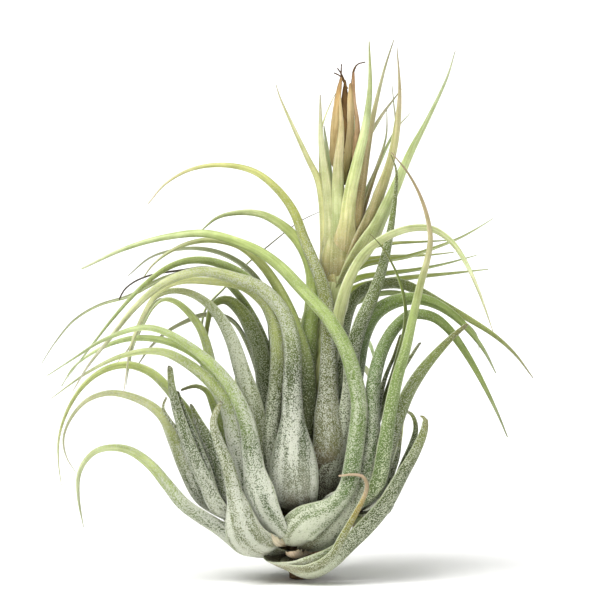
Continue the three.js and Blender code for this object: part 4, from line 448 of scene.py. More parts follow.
# ---- colours ----
# a leaf's own tissue, where scurf leaves it free: shares of its length from the root, and colours
PALETTES = {
    "silver": [(0, "#a5847a"), (0.05, "#a8948a"), (0.11, "#8f927a"), (0.2, "#52603a"),
        (0.34, "#586636"), (0.45, "#93a05e"), (0.57, "#c2cb82"), (0.78, "#dee3ac"), (1, "#d8d4c2")],
    "green": [(0, "#9a7c6a"), (0.06, "#9a8f78"), (0.14, "#6c764e"), (0.3, "#64733a"),
        (0.46, "#a9b66a"), (0.62, "#cdd688"), (0.84, "#e0e6ae"), (1, "#d8d4c2")],
    "lime": [(0, "#94805e"), (0.1, "#8f9464"), (0.3, "#84945a"), (0.5, "#b0be72"), (0.7, "#d3db8c"),
        (0.9, "#e4e8b6"), (1, "#d6d4ba")],
    "olive": [(0, "#5f4e38"), (0.12, "#565c38"), (0.35, "#4d582c"), (0.6, "#717c40"),
        (0.85, "#acb566"), (1, "#aca48a")],
    "bract": [(0, "#b5ab6c"), (0.14, "#c9c488"), (0.35, "#d3d89c"), (0.6, "#dbe0a6"),
        (0.82, "#e2e7b8"), (0.94, "#dcd8bc"), (1, "#b8aea2")],
    "blush": [(0, "#b8a46e"), (0.14, "#ccb98c"), (0.35, "#d6cca2"), (0.6, "#d8d6a8"),
        (0.82, "#d8caae"), (1, "#b0a294")],
    "foot_tan": [(0, "#c2a47a"), (0.16, "#d0b48c"), (0.3, "#d6c898"), (0.5, "#dad8a4"),
        (0.75, "#dfe2b0"), (1, "#b8ae8c")],
    "rosy": [(0, "#c0aa74"), (0.2, "#c9b07e"), (0.4, "#cbb086"), (0.6, "#d0bc94"), (0.8, "#d8cfae"),
        (1, "#b0a294")],
    "dried_tip": [(0, "#c0ac78"), (0.2, "#cfc08c"), (0.4, "#d0d59c"), (0.56, "#dcdba8"),
        (0.7, "#e6d6ac"), (1, "#d4b68a")],
    "tall": [(0, "#94805e"), (0.1, "#666f48"), (0.3, "#5f7542"), (0.5, "#8a9f60"),
        (0.62, "#b0c27c"), (0.74, "#d0cda4"), (0.86, "#c9b598"), (1, "#a5927e")],
    # a look for leaves far inside the rosette: its darker lower tissue is painted shade
    "deep": [(0, "#6a5846"), (0.12, "#646a44"), (0.3, "#48552c"), (0.5, "#6c7a46"),
        (0.66, "#a5af6e"), (0.86, "#ccd39a"), (1, "#c4c0a6")],
    "dusk": [(0, "#9a7c6a"), (0.1, "#858766"), (0.3, "#56683a"), (0.5, "#6f8548"),
        (0.66, "#86984e"), (0.86, "#a2ae66"), (1, "#a8a98c")],
    "vine": [(0, "#6a5846"), (0.12, "#5c6238"), (0.3, "#4c5c2c"), (0.55, "#62742f"),
        (0.85, "#74873a"), (1, "#8a8f5a")],
    "spread": [(0, "#a5847a"), (0.1, "#8f9270"), (0.3, "#6f7a4c"), (0.5, "#737e4e"),
        (0.62, "#8c9860"), (0.8, "#c8cf94"), (1, "#d2ceba")],
    "cup": [(0, "#b8a488"), (0.14, "#a8a284"), (0.26, "#848c62"), (0.36, "#4c582c"),
        (0.75, "#4a5629"), (0.9, "#7f8a3c"), (1, "#a39c5c")],
    "old": [(0, "#a89a84"), (0.2, "#8f9274"), (0.38, "#6c7746"), (0.55, "#84883f"),
        (0.7, "#a3924f"), (1, "#b8a088")],
    "arch": [(0, "#a58c7c"), (0.05, "#a09a86"), (0.12, "#75805a"), (0.24, "#566a38"),
        (0.4, "#88995a"), (0.54, "#b6c27c"), (0.74, "#d5dc96"), (0.9, "#e4e8ba"), (1, "#d8d4bc")],
    "short": [(0, "#a5847a"), (0.1, "#a09a84"), (0.3, "#858d66"), (0.55, "#6f7a44"),
        (0.8, "#6a7440"), (0.95, "#8f9455"), (1, "#6f6a4a")],
    "bud": [(0, "#8a7464"), (0.1, "#7d7a62"), (0.3, "#5f693f"), (0.55, "#525e34"), (0.8, "#59652f"),
        (0.95, "#858b4e"), (1, "#665f40")],
    "hood": [(0, "#a5847a"), (0.2, "#58613a"), (0.5, "#5c6a34"), (0.85, "#84924b"), (1, "#7c784a")],
    "shade": [(0, "#a5847a"), (0.08, "#a08c74"), (0.16, "#848a5c"), (0.34, "#717c42"),
        (0.5, "#8f9b50"), (0.64, "#b8c26c"), (0.85, "#d4da96"), (1, "#c8c2aa")],
    "fresh": [(0, "#94805e"), (0.2, "#8f9c44"), (0.45, "#b4c44c"), (0.7, "#ccd866"),
        (0.85, "#d2da86"), (1, "#c8cf94")],
    "scale": [(0, "#bfa692"), (0.4, "#dccbbc"), (0.75, "#eadfd2"), (1, "#dccab6")],
    "flower": [(0, "#c4bf84"), (0.18, "#cfc290"), (0.42, "#decaa2"), (0.7, "#e8d4b0"),
        (0.9, "#e0c498"), (1, "#a88c68")],
    "rust": [(0, "#cac488"), (0.3, "#dec894"), (0.6, "#ebd29c"), (0.85, "#dfba82"), (1, "#9c7a52")],
    "core": [(0, "#8a7c48"), (0.4, "#7d6840"), (1, "#8a6a42")],
}
# how much of a leaf scurf covers, at shares of its length from the root
THIN_COVER = [(0, 0.1), (0.3, 0.05), (1, 0)]
COVER = {
    "silver": [(0, 0.35), (0.06, 0.72), (0.13, 0.92), (0.22, 0.82), (0.36, 0.7), (0.5, 0.52),
        (0.64, 0.3), (0.78, 0.06), (1, 0)],
    "green": [(0, 0.5), (0.1, 0.86), (0.24, 0.7), (0.42, 0.5), (0.56, 0.26), (0.72, 0.05), (1, 0)],
    "lime": [(0, 0.3), (0.12, 0.6), (0.3, 0.42), (0.46, 0.12), (0.66, 0.02), (1, 0)],
    "olive": [(0, 0.35), (0.15, 0.6), (0.4, 0.5), (0.6, 0.3), (0.85, 0.06), (1, 0)],
    "cup": [(0, 0.6), (0.1, 0.9), (0.22, 0.86), (0.36, 0.44), (0.8, 0.34), (1, 0.2)],
    "old": [(0, 0.6), (0.12, 0.92), (0.3, 0.74), (0.5, 0.42), (0.66, 0.14), (1, 0)],
    "arch": [(0, 0.6), (0.06, 0.95), (0.14, 0.86), (0.25, 0.6), (0.42, 0.4), (0.55, 0.14),
        (0.7, 0.02), (1, 0)],
    "tall": [(0, 0.3), (0.12, 0.55), (0.3, 0.4), (0.46, 0.14), (0.66, 0.02), (1, 0)],
    "dusk": [(0, 0.5), (0.1, 0.86), (0.24, 0.7), (0.4, 0.5), (0.52, 0.2), (0.7, 0.04), (1, 0)],
    "vine": [(0, 0.3), (0.15, 0.45), (0.4, 0.2), (0.6, 0.05), (1, 0)],
    "spread": [(0, 0.6), (0.12, 0.88), (0.3, 0.8), (0.5, 0.7), (0.62, 0.5), (0.75, 0.15), (1, 0)],
    # leaves far inside the rosette: thinner scurf, part of their painted shade
    "deep": [(0, 0.3), (0.15, 0.5), (0.4, 0.38), (0.6, 0.26), (0.8, 0.06), (1, 0)],
    "short": [(0, 0.4), (0.08, 0.75), (0.18, 0.9), (0.45, 0.82), (0.65, 0.6), (0.9, 0.4), (1, 0.3)],
    "bud": [(0, 0.4), (0.15, 0.66), (0.45, 0.5), (0.65, 0.42), (0.9, 0.34), (1, 0.3)],
    "hood": [(0, 0.5), (0.15, 0.7), (0.4, 0.48), (0.7, 0.28), (1, 0.1)],
    "shade": [(0, 0.5), (0.1, 0.75), (0.3, 0.6), (0.5, 0.45), (0.62, 0.15), (0.8, 0), (1, 0)],
    "fresh": [(0, 0.4), (0.3, 0.1), (0.5, 0), (1, 0)],
    "scale": [(0, 0.3), (1, 0.15)],
    **dict.fromkeys(("bract", "blush", "foot_tan", "rosy", "dried_tip"), THIN_COVER),
    **dict.fromkeys(("rust", "core", "flower"), [(0, 0), (1, 0)]),
}
PALE_MARGIN = "#e0e6c8"
# leaves that end dry: where that starts, as a share of the leaf, and its colour
DRY_ENDS = {
    "leaf_front_old": (0.74, "#b8a088"),
    "leaf_left_dry_tip": (0.74, "#4a3d2c"),
    "leaf_left_thread": (0.8, "#7d7657"),
    "leaf_left_dark": (0.86, "#6b6138"),
}
# leaves with a palette and a cover of their own; the others take those of their tone
OWN_LOOKS = {
    "leaf_front_lowest": "cup", "leaf_front_short": "short", "leaf_front_old": "old",
    "leaf_front_arch": "arch", "leaf_front_hood": "hood", "leaf_front_tall": "shade",
    # the deep look paints shade on leaves far inside the rosette
    "leaf_left_m": "spread", "leaf_left_side": "deep", "leaf_left_grey": "deep",
    "leaf_right_long": "dusk", "leaf_right_b": "hood", "leaf_right_d": "dusk",
    "leaf_right_c": "deep", "leaf_right_r": "vine", "leaf_right_tall": "tall",
    **{f"leaf_right_h{n}": "fresh" for n in ("", 2, 3, 4, 5)},
}
FRESH_INSIDE = 0.25  # the inner side of fresh leaves is little darker, with less painted shade
# bracts, by their place in the table, that are tinged pink or end dry
BRACT_LOOKS = {
    3: "dried_tip", 4: "foot_tan", 5: "rosy", 6: "rosy", 7: "blush", 9: "blush", 10: "blush",
}
BRACT_SKIN = dict(spacing=1.2, margin=0.35, flakes=False, inside=0.3)
STRIP_LOOKS = ["rust", "flower", "flower", "rust"]
STRIP_SKIN = dict(ripple=0.5, uneven=0.12, twist=9, margin=0.1, thin=0.4, spacing=0.7, flakes=False)
SCALE_SKIN = dict(
    ripple=0.9, uneven=0.12, twist=8, margin=0.3, thin=0.5, spacing=0.5, flakes=False, inside=0.25,
)
THREAD_PALETTE = [(0, "#a9884f"), (0.5, "#6d5238"), (1, "#4d3a2a")]
STEM_BROWN = "#6b5232"

# ---- curves ----


def leaned(points):
    """Leans measured points back with the plant."""
    x, depth, height = np.array(points, float).T
    c, s = math.cos(LEAN), math.sin(LEAN)
    return np.stack([x, depth * c + height * s, height * c - depth * s], 1)


def unit(vectors):
    return vectors / np.maximum(np.linalg.norm(vectors, axis=-1, keepdims=True), 1e-12)


def smooth(value, low, high):
    """An eased rise from 0 to 1 between low and high."""
    t = np.clip((value - low) / (high - low), 0, 1)
    return t * t * (3 - 2 * t)


def at_least(low, share):
    return low + (1 - low) * share


def blended(a, b, share):
    return a * (1 - share) + b * share


def spline(points, samples):
    """Evenly spaced places on a smooth curve through the points, and its length."""
    points = np.array(points, float)
    padded = np.vstack([2 * points[0] - points[1], points, 2 * points[-1] - points[-2]])
    w = np.linspace(0, 1, SPLINE_STEPS, endpoint=False)[:, None]
    fine = []
    for p0, p1, p2, p3 in zip(padded, padded[1:], padded[2:], padded[3:]):
        d0, d1, d2 = (np.linalg.norm(b - a) ** 0.5 for a, b in ((p0, p1), (p1, p2), (p2, p3)))
        m1 = ((p1 - p0) / d0 - (p2 - p0) / (d0 + d1) + (p2 - p1) / d1) * d1
        m2 = ((p2 - p1) / d1 - (p3 - p1) / (d1 + d2) + (p3 - p2) / d2) * d1
        fine.append(
            (2 * w**3 - 3 * w**2 + 1) * p1 + (w**3 - 2 * w**2 + w) * m1
            + (3 * w**2 - 2 * w**3) * p2 + (w**3 - w**2) * m2
        )
    fine = np.vstack([*fine, points[-1:]])
    at = np.concatenate([[0], np.cumsum(np.linalg.norm(np.diff(fine, axis=0), axis=1))])
    even = np.linspace(0, at[-1], samples + 1)
    return np.stack([np.interp(even, at, fine[:, k]) for k in range(3)], 1), at[-1]


def root_points(azimuth, layer):
    """A leaf's root, which runs out from the stem and turns up against the layer inside it."""
    height = INNER_ROOT_HEIGHT - LAYER_DROP * layer
    bulge = INNER_BULGE + LAYER_SWELL * layer
    angle = math.radians(azimuth)
    shoulder = (SHOULDER_SHARE * bulge + SHOULDER_OUT, SHOULDER_RISE)
    steps = (ROOT_RADIUS, 0), shoulder, (bulge, ROOT_RISE)
    return [(r * math.cos(angle), r * math.sin(angle), height + rise) for r, rise in steps]


def frames(points, face=0, turned=1):
    """Places along the curve, with the direction along it and towards the leaf's inner side."""
    places, length = spline(points, CURVE_SAMPLES)
    padded = np.vstack([places[:1], places, places[-1:]])
    along = unit(padded[2:] - padded[:-2])
    ramp = smooth(np.arange(CURVE_SAMPLES + 1) / CURVE_SAMPLES, 0, turned)
    still = np.array([0.0, 0.0, 1.0])
    inner = []
    for a, r in zip(along, ramp):
        still = unit(still - a * still.dot(a))
        back = np.array([0.0, 1.0, 0.0])
        back = back - a * back.dot(a)
        back = back - still * back.dot(still)
        angle = math.radians(face) * r
        inner.append(unit(still * math.cos(angle) + back * math.sin(angle)))
    return dict(place=places, along=along, inner=np.array(inner), ramp=ramp, length=length)


def sampled(path, shares):
    """Place, inner side, side and ramp of the path at shares of its length."""
    at = shares * CURVE_SAMPLES
    index = np.arange(CURVE_SAMPLES + 1)

    def read(values):
        return np.stack([np.interp(at, index, values[:, k]) for k in range(3)], 1)

    inner = unit(read(path["inner"]))
    side = np.cross(inner, unit(read(path["along"])))
    return read(path["place"]), inner, side, np.interp(at, index, path["ramp"])


def around(place, side, inner, x, y):
    """Rings of points round the places, x to the side and y to the inner side."""
    return place[:, None] + side[:, None] * x[..., None] + inner[:, None] * y[..., None]


def leaf_shape(leaf, sheath_length, length, distance):
    """Width, curl in degrees and thickness of a leaf at distances from its root."""
    sheath, blade, widest, root = (leaf[key] for key in ("sheath", "blade", "widest", "root"))
    t = distance / sheath_length
    u = np.clip((distance - sheath_length) / (length - sheath_length), 0, 1)
    rising = sheath * np.maximum(root + (1 - root) * np.sin(np.pi / 2 * t / widest), LEAST_ROOT)
    wave = 0.5 + 0.5 * np.cos(np.pi * (t - widest) / (1 - widest))
    necking = blade + (sheath - blade) * wave
    tapering = blade + (leaf["tip"] - blade) * u ** leaf["blunt"]
    width = np.where(t < widest, rising, np.where(t < 1, necking, tapering))
    sheath_curl = np.interp(t, [0, widest, 1], [CURL["root"], CURL["sheath"], CURL["neck"]])
    curl = np.where(t < 1, sheath_curl, CURL["neck"] + (CURL["tip"] - CURL["neck"]) * u)
    sheath_thick = THICK["root"] + (THICK["sheath"] - THICK["root"]) * t
    blade_thick = THICK["sheath"] + (THICK["tip"] - THICK["sheath"]) * u
    return width, curl, np.where(t < 1, sheath_thick, blade_thick)


def wobble(rng, shares, waves):
    """A slow random wave along a leaf, between about -1 and 1."""
    total = np.zeros_like(shares)
    for n in range(1, waves + 1):
        height = rng.normal() / n**WAVE_FALL
        total += height * np.sin(np.pi * (n * shares * WAVE_PACE + rng.uniform(0, 2)))
    return total / WAVE_SCALE


# ---- colours and meshes ----


def linear(code):
    """A display colour as linear light."""
    values = [int(code[k:k + 2], 16) / 255 for k in (1, 3, 5)]
    return np.array([v / 12.92 if v <= 0.04045 else ((v + 0.055) / 1.055) ** 2.4 for v in values])


def along_palette(stops, shares):
    at = [s for s, _ in stops]
    colours = np.array([linear(code) for _, code in stops])
    return np.stack([np.interp(shares, at, colours[:, k]) for k in range(3)], -1)


def pattern_place(arc, along, seed):
    """Where each vertex lies across and along its sweep, in a pattern that the seed moves on."""
    return np.stack([arc, along[:, None] + 0 * arc, np.full_like(arc, seed * SEED_STEP)], -1)


def add_object(name, points, faces, material):
    mesh = bpy.data.meshes.new(name)
    mesh.from_pydata(points, [], faces)
    mesh.materials.append(material)
    made = bpy.data.objects.new(name, mesh)
    scene.collection.objects.link(made)
    return made


class Skin:
    """Points, faces and surface values of one piece, gathered sweep by sweep."""

    def __init__(self):
        self.parts = []
        self.count = 0

    def add_tube(self, rings, tint, cover, flow):
        """A closed body through rings of points, with a point at each end."""
        rows, size, _ = rings.shape
        grid = np.arange(rows * size).reshape(rows, size) + self.count
        a, b = grid[:-1], grid[1:]
        quads = np.stack([a, np.roll(a, -1, 1), np.roll(b, -1, 1), b], -1).reshape(-1, 4)
        root = self.count + rows * size
        low = np.stack([np.full(size, root), np.roll(grid[0], -1), grid[0]], -1)
        high = np.stack([np.full(size, root + 1), grid[-1], np.roll(grid[-1], -1)], -1)
        values = []
        for value in (rings, tint, cover[..., None], flow):
            middles = value[[0, -1]].mean(1)
            values.append(np.concatenate([value.reshape(rows * size, -1), middles]))
        self.parts.append((quads, np.concatenate([low, high]), *values))
        self.count += rows * size + 2

    def build(self, name, material):
        quads, triangles, points, tint, cover, flow = map(np.concatenate, zip(*self.parts))
        points[:, 2] = np.maximum(points[:, 2], 0)  # nothing goes through the floor
        faces = quads.tolist() + triangles.tolist()
        piece = add_object(name, (points * MM).tolist(), faces, material)
        tint = np.hstack([tint, np.ones((len(tint), 1))])
        for label, kind, key, values in (
            ("tint", "FLOAT_COLOR", "color", tint),
            ("cover", "FLOAT", "value", cover),
            ("flow", "FLOAT_VECTOR", "vector", flow),
        ):
            layer = piece.data.attributes.new(label, kind, "POINT")
            layer.data.foreach_set(key, values.ravel())
        piece.data.shade_smooth()
        return piece


outer_faces = []  # of the leaves that loose scurf lies on, with how much scurf covers them


def leaf_section(rng, leaf, look, path, shares, across):
    """Rings of points round a leaf, with each column's place across it and on which face."""
    length = path["length"]
    sheath_length = min(leaf["neck"] * leaf["sheath"], SHEATH_SHARE * length)
    place, inner, side, ramp = sampled(path, shares)
    width, curl, thick = leaf_shape(leaf, sheath_length, length, shares * length)
    past = np.clip(1 - (1 - shares) * length / (TIP_ROUND * leaf["tip"]), 0, TIP_CLOSED)
    place = place - inner * (HALF_DEPTH * width * ramp)[:, None]
    varied = 1 + look["uneven"] * wobble(rng, shares, WAVES["width"])
    width = width * np.sqrt(1 - past**2) * varied
    half = np.radians(curl / 2) * (1 + CURL_VARIES * wobble(rng, shares, WAVES["curl"]))
    radius = width / (2 * np.sin(half))
    twist = np.radians(look["twist"]) * wobble(rng, shares, WAVES["twist"])
    twist = twist * smooth(shares, *TWIST_FROM)
    thick = np.minimum(thick * look["thin"], MOST_THICK * radius)[:, None]
    k = np.concatenate([np.linspace(-1, 1, across + 1), np.linspace(1, -1, across - 1)])
    outer = np.concatenate([np.ones(across + 1), np.zeros(across - 1)])
    ripple = [look["ripple"] * wobble(rng, shares, WAVES["margin"])[:, None] for _ in range(2)]
    angle = half[:, None] * k + twist[:, None]
    edge = np.minimum(EDGE, EDGE_SHARE * thick)
    reach = radius[:, None] - (edge + (thick - edge) * (1 - k**2) ** THICK_POWER) * (1 - outer)
    bend = np.where(k < 0, *ripple) * np.abs(k) ** RIM_POWER * width[:, None] * RIPPLE_HEIGHT
    x = reach * np.sin(angle)
    y = radius[:, None] - reach * np.cos(angle) + bend
    return around(place, side, inner, x, y), k, outer, radius[:, None] * angle


def leaf_colour(rng, look, shares, rings, k, outer):
    """Colour of the tissue, with painted shade on its inner side and near the stem's axis, and how
    much of it scurf covers.
    """
    every = np.ones((1, len(k)))
    shade = 1 + SHADE_VARIES * rng.normal()
    hue = 1 + HUE_VARIES * rng.normal(size=3)
    tint = along_palette(look["palette"], shares)[:, None] * every[..., None] * shade * hue
    tint = tint * (1 + TINT_VARIES * wobble(rng, shares, WAVES["colour"]))[:, None, None]
    margin = (smooth(np.abs(k), MARGIN_FROM, 1) * look["margin"])[None, :, None]
    tint = blended(tint, linear(PALE_MARGIN), margin)
    # the inner side is darker: partly its own tissue, partly painted shade
    tint = tint * (1 - ((1 - outer) * look["inside"])[None, :, None])
    # painted shade: near the stem's axis and below the top heights, the tint is darkened and less
    # scurf is kept
    from_axis = np.linalg.norm(rings[..., :2], axis=-1)
    away_from_shaded_bare_core = np.maximum(smooth(from_axis, *PAINTED_SHADE_RADII), smooth(rings[..., 2], *PAINTED_SHADE_TOP))
    tint = tint * at_least(PAINTED_SHADE_TINT, away_from_shaded_bare_core)[..., None]
    cover = np.interp(shares, *zip(*look["cover"]))[:, None] * every
    cover = cover * at_least(INNER_COVER, outer) * at_least(NEAR_AXIS_COVER, away_from_shaded_bare_core)
    if look["dry"]:
        start, code = look["dry"]
        dead = smooth(shares, start + DRY_BLEND[0], start + DRY_BLEND[1])[:, None, None]
        tint = blended(tint, linear(code), dead)
        cover = cover * (1 - smooth(shares, start, start + DRY_BARE))[:, None]
    return tint, cover


def sweep_leaf(skin, leaf, points, look):
    """Adds one leaf, bract, strip or scale to a skin."""
    rng = np.random.default_rng(look["seed"])
    leaf = {**PLAIN_LEAF, **leaf}
    path = frames(leaned(points), leaf["face"], leaf["turned"])
    length = path["length"]
    stations = int(np.clip(length / look["spacing"], *LEAF_STATIONS))
    closing = 1 - TIP_ROUND * leaf["tip"] / length * np.array(TIP_STEPS)
    body = np.linspace(0, closing[0], stations, endpoint=False)
    shares = np.concatenate([body, closing, [1]])
    across = ACROSS[leaf["sheath"] > WIDE_SHEATH]
    rings, k, outer, arc = leaf_section(rng, leaf, look, path, shares, across)
    tint, cover = leaf_colour(rng, look, shares, rings, k, outer)
    flow = pattern_place(arc, shares * length, look["seed"])
    skin.add_tube(rings, np.clip(tint, 0, MOST_TINT), np.clip(cover, 0, 1), flow)
    if look["flakes"]:
        outer_faces.append((rings[:, :across + 1], cover[:, :across + 1]))


def sweep_rod(skin, points, radii, sides, look, rough=0.0, spacing=1.0):
    """Adds a round rod, with a radius at each of evenly spaced places."""
    rng = np.random.default_rng(look["seed"])
    path = frames(leaned(points))
    stations = int(np.clip(path["length"] / spacing, *ROD_STATIONS))
    shares = np.linspace(0, 1, stations + 1)
    place, inner, side, _ = sampled(path, shares)
    radius = np.interp(shares, np.linspace(0, 1, len(radii)), radii)[:, None]
    a = -np.linspace(0, 2 * np.pi, sides, endpoint=False)
    r = radius * (1 + rough * rng.normal(size=(stations + 1, sides)))
    rings = around(place, side, inner, r * np.cos(a), r * np.sin(a))
    tint = along_palette(look["palette"], shares)[:, None] * np.ones((1, sides, 1))
    flow = pattern_place(radius * -a, shares * path["length"], look["seed"])
    skin.add_tube(rings, tint, np.zeros((stations + 1, sides)), flow)


# ---- materials ----


def rgba(code):
    return (*linear(code), 1.0)


class Nodes:
    """A material's node tree, with short calls for the nodes that the surfaces use."""

    def __init__(self, name):
        self.material = bpy.data.materials.new(name)
        self.material.use_nodes = True
        self.tree = self.material.node_tree

    def put(self, socket, value):
        if isinstance(value, bpy.types.NodeSocket):
            self.tree.links.new(value, socket)
        else:
            socket.default_value = value

    def new(self, kind, *values, **inputs):
        """A node whose first inputs take the values in order, and others by name."""
        node = self.tree.nodes.new("ShaderNode" + kind)
        for socket, value in zip(node.inputs, values):
            self.put(socket, value)
        self.feed(node, inputs)
        return node

    def feed(self, node, inputs):
        for name, value in inputs.items():
            self.put(node.inputs[name.replace("_", " ")], value)

    def attribute(self, name, output):
        node = self.new("Attribute")
        node.attribute_name = name
        return node.outputs[output]

    def place(self):
        return self.new("TexCoord").outputs["Object"]

    def math(self, operation, a, b):
        node = self.new("Math", a, b)
        node.operation = operation
        return node.outputs[0]

    def ranged(self, value, low, high, to_low, to_high):
        return self.new("MapRange", value, low, high, to_low, to_high).outputs[0]

    def noise(self, vector, scale, detail, rough=0.5):
        inputs = dict(Vector=vector, Scale=scale, Detail=detail, Roughness=rough)
        return self.new("TexNoise", **inputs).outputs[0]

    def grain(self, vector, scale, detail, rough=0.5):
        """Noise that is stretched, by a scale for each direction."""
        node = self.new("VectorMath", vector, scale)
        node.operation = "MULTIPLY"
        return self.noise(node.outputs[0], 1.0, detail, rough)

    def mix(self, factor, a, b, kind="MIX"):
        node = self.new("Mix", factor)
        node.data_type = "RGBA"
        node.blend_type = kind
        self.put(node.inputs[6], a)
        self.put(node.inputs[7], b)
        return node.outputs[2]

    def bump(self, height, strength, distance):
        return self.new("Bump", Height=height, Strength=strength, Distance=distance).outputs[0]

    def surface(self, colour, roughness, **inputs):
        """Feeds the shader and gives the finished material."""
        named = {"Base Color": colour, "Roughness": roughness, **inputs}
        self.feed(self.tree.nodes["Principled BSDF"], named)
        return self.material


def leaf_material(name, flake, rough, soft, speckle):
    """Living leaf: streaked tissue under flakes of scurf that stand a little proud of it."""
    n = Nodes(name)
    tint = n.attribute("tint", "Color")
    flow = n.attribute("flow", "Vector")
    cover = n.attribute("cover", "Fac")
    place = n.place()
    streak = n.grain(flow, (1.3, 0.06, 1), 3.0, 0.6)
    nerve = n.grain(flow, (3.4, 0.05, 1), 2.0)
    worn = n.grain(flow, (0.3, 0.035, 1), 2.0)
    blotch = n.noise(place, 210.0, 3.0, 0.6)
    patch = n.noise(place, 480.0, 2.0)
    tissue = n.mix(n.ranged(streak, 0.32, 0.68, 0, 1), rgba("#c6cbb2"), rgba("#ffffff"))
    tissue = n.mix(1.0, tint, tissue, "MULTIPLY")
    dark = n.ranged(blotch, 0.35, 0.62, 0.35, 0)
    tissue = n.mix(dark, tissue, n.mix(1.0, tissue, rgba("#b0b888"), "MULTIPLY"))
    # scurf is thinner in worn streaks, and uneven from patch to patch
    rubbed = n.ranged(worn, 0.38, 0.6, 0.62, -0.15)
    uneven = n.ranged(patch, 0.3, 0.7, -0.16, 0.16)
    kept = n.math("SUBTRACT", n.math("ADD", uneven, 1.0), rubbed)
    dense = n.math("MULTIPLY", cover, kept)
    # its flakes are round cells, which are larger where more of the place is covered
    cells = n.new("TexVoronoi", Vector=place, Scale=speckle, Randomness=1.0)
    chance = n.new("SeparateColor", Color=cells.outputs["Color"]).outputs[0]
    reach = n.math("ADD", n.math("MULTIPLY", dense, 0.56), n.math("MULTIPLY", chance, 0.16))
    gap = n.math("SUBTRACT", cells.outputs["Distance"], reach)
    covered = n.ranged(cover, 0, 0.08, 0, 1)
    flakes = n.math("MULTIPLY", n.ranged(gap, 0.2, 0.1, 0, 1), covered)
    pale = n.mix(n.ranged(chance, 0, 1, 0, 0.4), rgba(flake), rgba("#a3ab88"))
    # between the flakes lies a fine pale veil
    veil = n.math("MULTIPLY", n.math("POWER", dense, 2.0), 0.16)
    colour = n.mix(veil, tissue, rgba(flake))
    colour = n.mix(n.math("MULTIPLY", flakes, 0.88), colour, pale)
    height = n.math("ADD", flakes, n.math("MULTIPLY", nerve, 0.8))
    return n.surface(
        colour, n.ranged(flakes, 0, 1, rough, 0.92), Normal=n.bump(height, 0.5, 0.00025),
        Specular_IOR_Level=0.35, Sheen_Weight=0.08, Sheen_Roughness=0.5, Subsurface_Weight=soft,
        Subsurface_Radius=(0.5, 1.0, 0.25), Subsurface_Scale=0.001,
    )


def dry_material(name):
    """Dead papery tissue: fibres along it, brown stains and a rough matt face."""
    n = Nodes(name)
    tint = n.attribute("tint", "Color")
    fibre = n.grain(n.attribute("flow", "Vector"), (3.2, 0.1, 1), 4.0, 0.65)
    stain = n.noise(n.place(), 260.0, 3.0, 0.6)
    fibres = n.mix(n.ranged(fibre, 0.3, 0.68, 0, 1), rgba("#c4b79e"), rgba("#fffbf2"))
    colour = n.mix(1.0, tint, fibres, "MULTIPLY")
    colour = n.mix(n.ranged(stain, 0.5, 0.7, 0, 0.3), colour, rgba("#8f7040"))
    return n.surface(
        colour, n.ranged(fibre, 0.3, 0.7, 0.65, 0.95), Normal=n.bump(fibre, 0.7, 0.0004),
        Specular_IOR_Level=0.3, Subsurface_Weight=0.1, Subsurface_Radius=(1.0, 0.6, 0.3),
        Subsurface_Scale=0.001,
    )


def stem_material(name):
    """Corky stem: rings of old leaf scars, dark cracks and paler ridges."""
    n = Nodes(name)
    place = n.place()
    grain = n.grain(place, (300, 300, 900), 4.0, 0.6)
    crust = n.noise(place, 900.0, 4.0, 0.7)
    colour = n.mix(n.ranged(grain, 0.35, 0.65, 0, 1), rgba("#4a3420"), rgba("#8c6f4c"))
    colour = n.mix(n.ranged(crust, 0.5, 0.7, 0, 0.7), colour, rgba("#b09a78"))
    height = n.math("ADD", grain, crust)
    rough = n.ranged(crust, 0.3, 0.7, 0.75, 0.98)
    return n.surface(colour, rough, Normal=n.bump(height, 0.8, 0.0008))


def scurf_material(name):
    """Loose scurf flakes: pale grey, some of them greener, and almost without gloss."""
    n = Nodes(name)
    shade = n.noise(n.place(), 1500.0, 2.0)
    colour = n.mix(n.ranged(shade, 0.35, 0.65, 0, 1), rgba("#a9b296"), rgba("#dadfd0"))
    return n.surface(colour, n.ranged(shade, 0.3, 0.7, 0.75, 0.95), Sheen_Weight=0.3)


def floor_material(name):
    n = Nodes(name)
    shade = n.noise(n.place(), 3.0, 2.0)
    colour = n.mix(shade, rgba("#fafaf9"), rgba("#fdfdfc"))
    return n.surface(colour, n.ranged(shade, 0, 1, 0.8, 0.9), Specular_IOR_Level=0.1)


# of leaves: colour of the scurf, roughness, how far light goes in, and flakes per metre
MATERIALS = {
    "silver": leaf_material("silver_leaf", "#d2d4c6", 0.6, 0.06, 2800.0),
    "green": leaf_material("green_leaf", "#d0d4be", 0.52, 0.06, 2800.0),
    "lime": leaf_material("lime_leaf", "#d8dfbc", 0.45, 0.1, 2300.0),
    "olive": leaf_material("olive_leaf", "#b9c0a4", 0.55, 0.05, 2800.0),
    "bract": leaf_material("bract_leaf", "#e2e6c8", 0.45, 0.15, 2300.0),
    "dry": dry_material("dry_paper"),
    "stem": stem_material("stem_cork"),
}

# ---- pieces ----
seeds = iter(range(1, 1000))


def look_for(tone, **more):
    """A look with the next seed, so that no two leaves share their streaks."""
    own = dict(palette=PALETTES[tone], cover=COVER[tone], seed=next(seeds))
    return {**PLAIN_LOOK, **own, **more}


def dress(skin, suffix, node, tone):
    """Turns a skin into the piece that stands for a node."""
    piece = skin.build(node + suffix, MATERIALS[tone])
    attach(piece, "root")
    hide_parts(node)


def radii_at(profile, heights):
    """A profile's radius at each of the heights."""
    return np.interp(heights, [h for _, h in profile], [r for r, _ in profile])


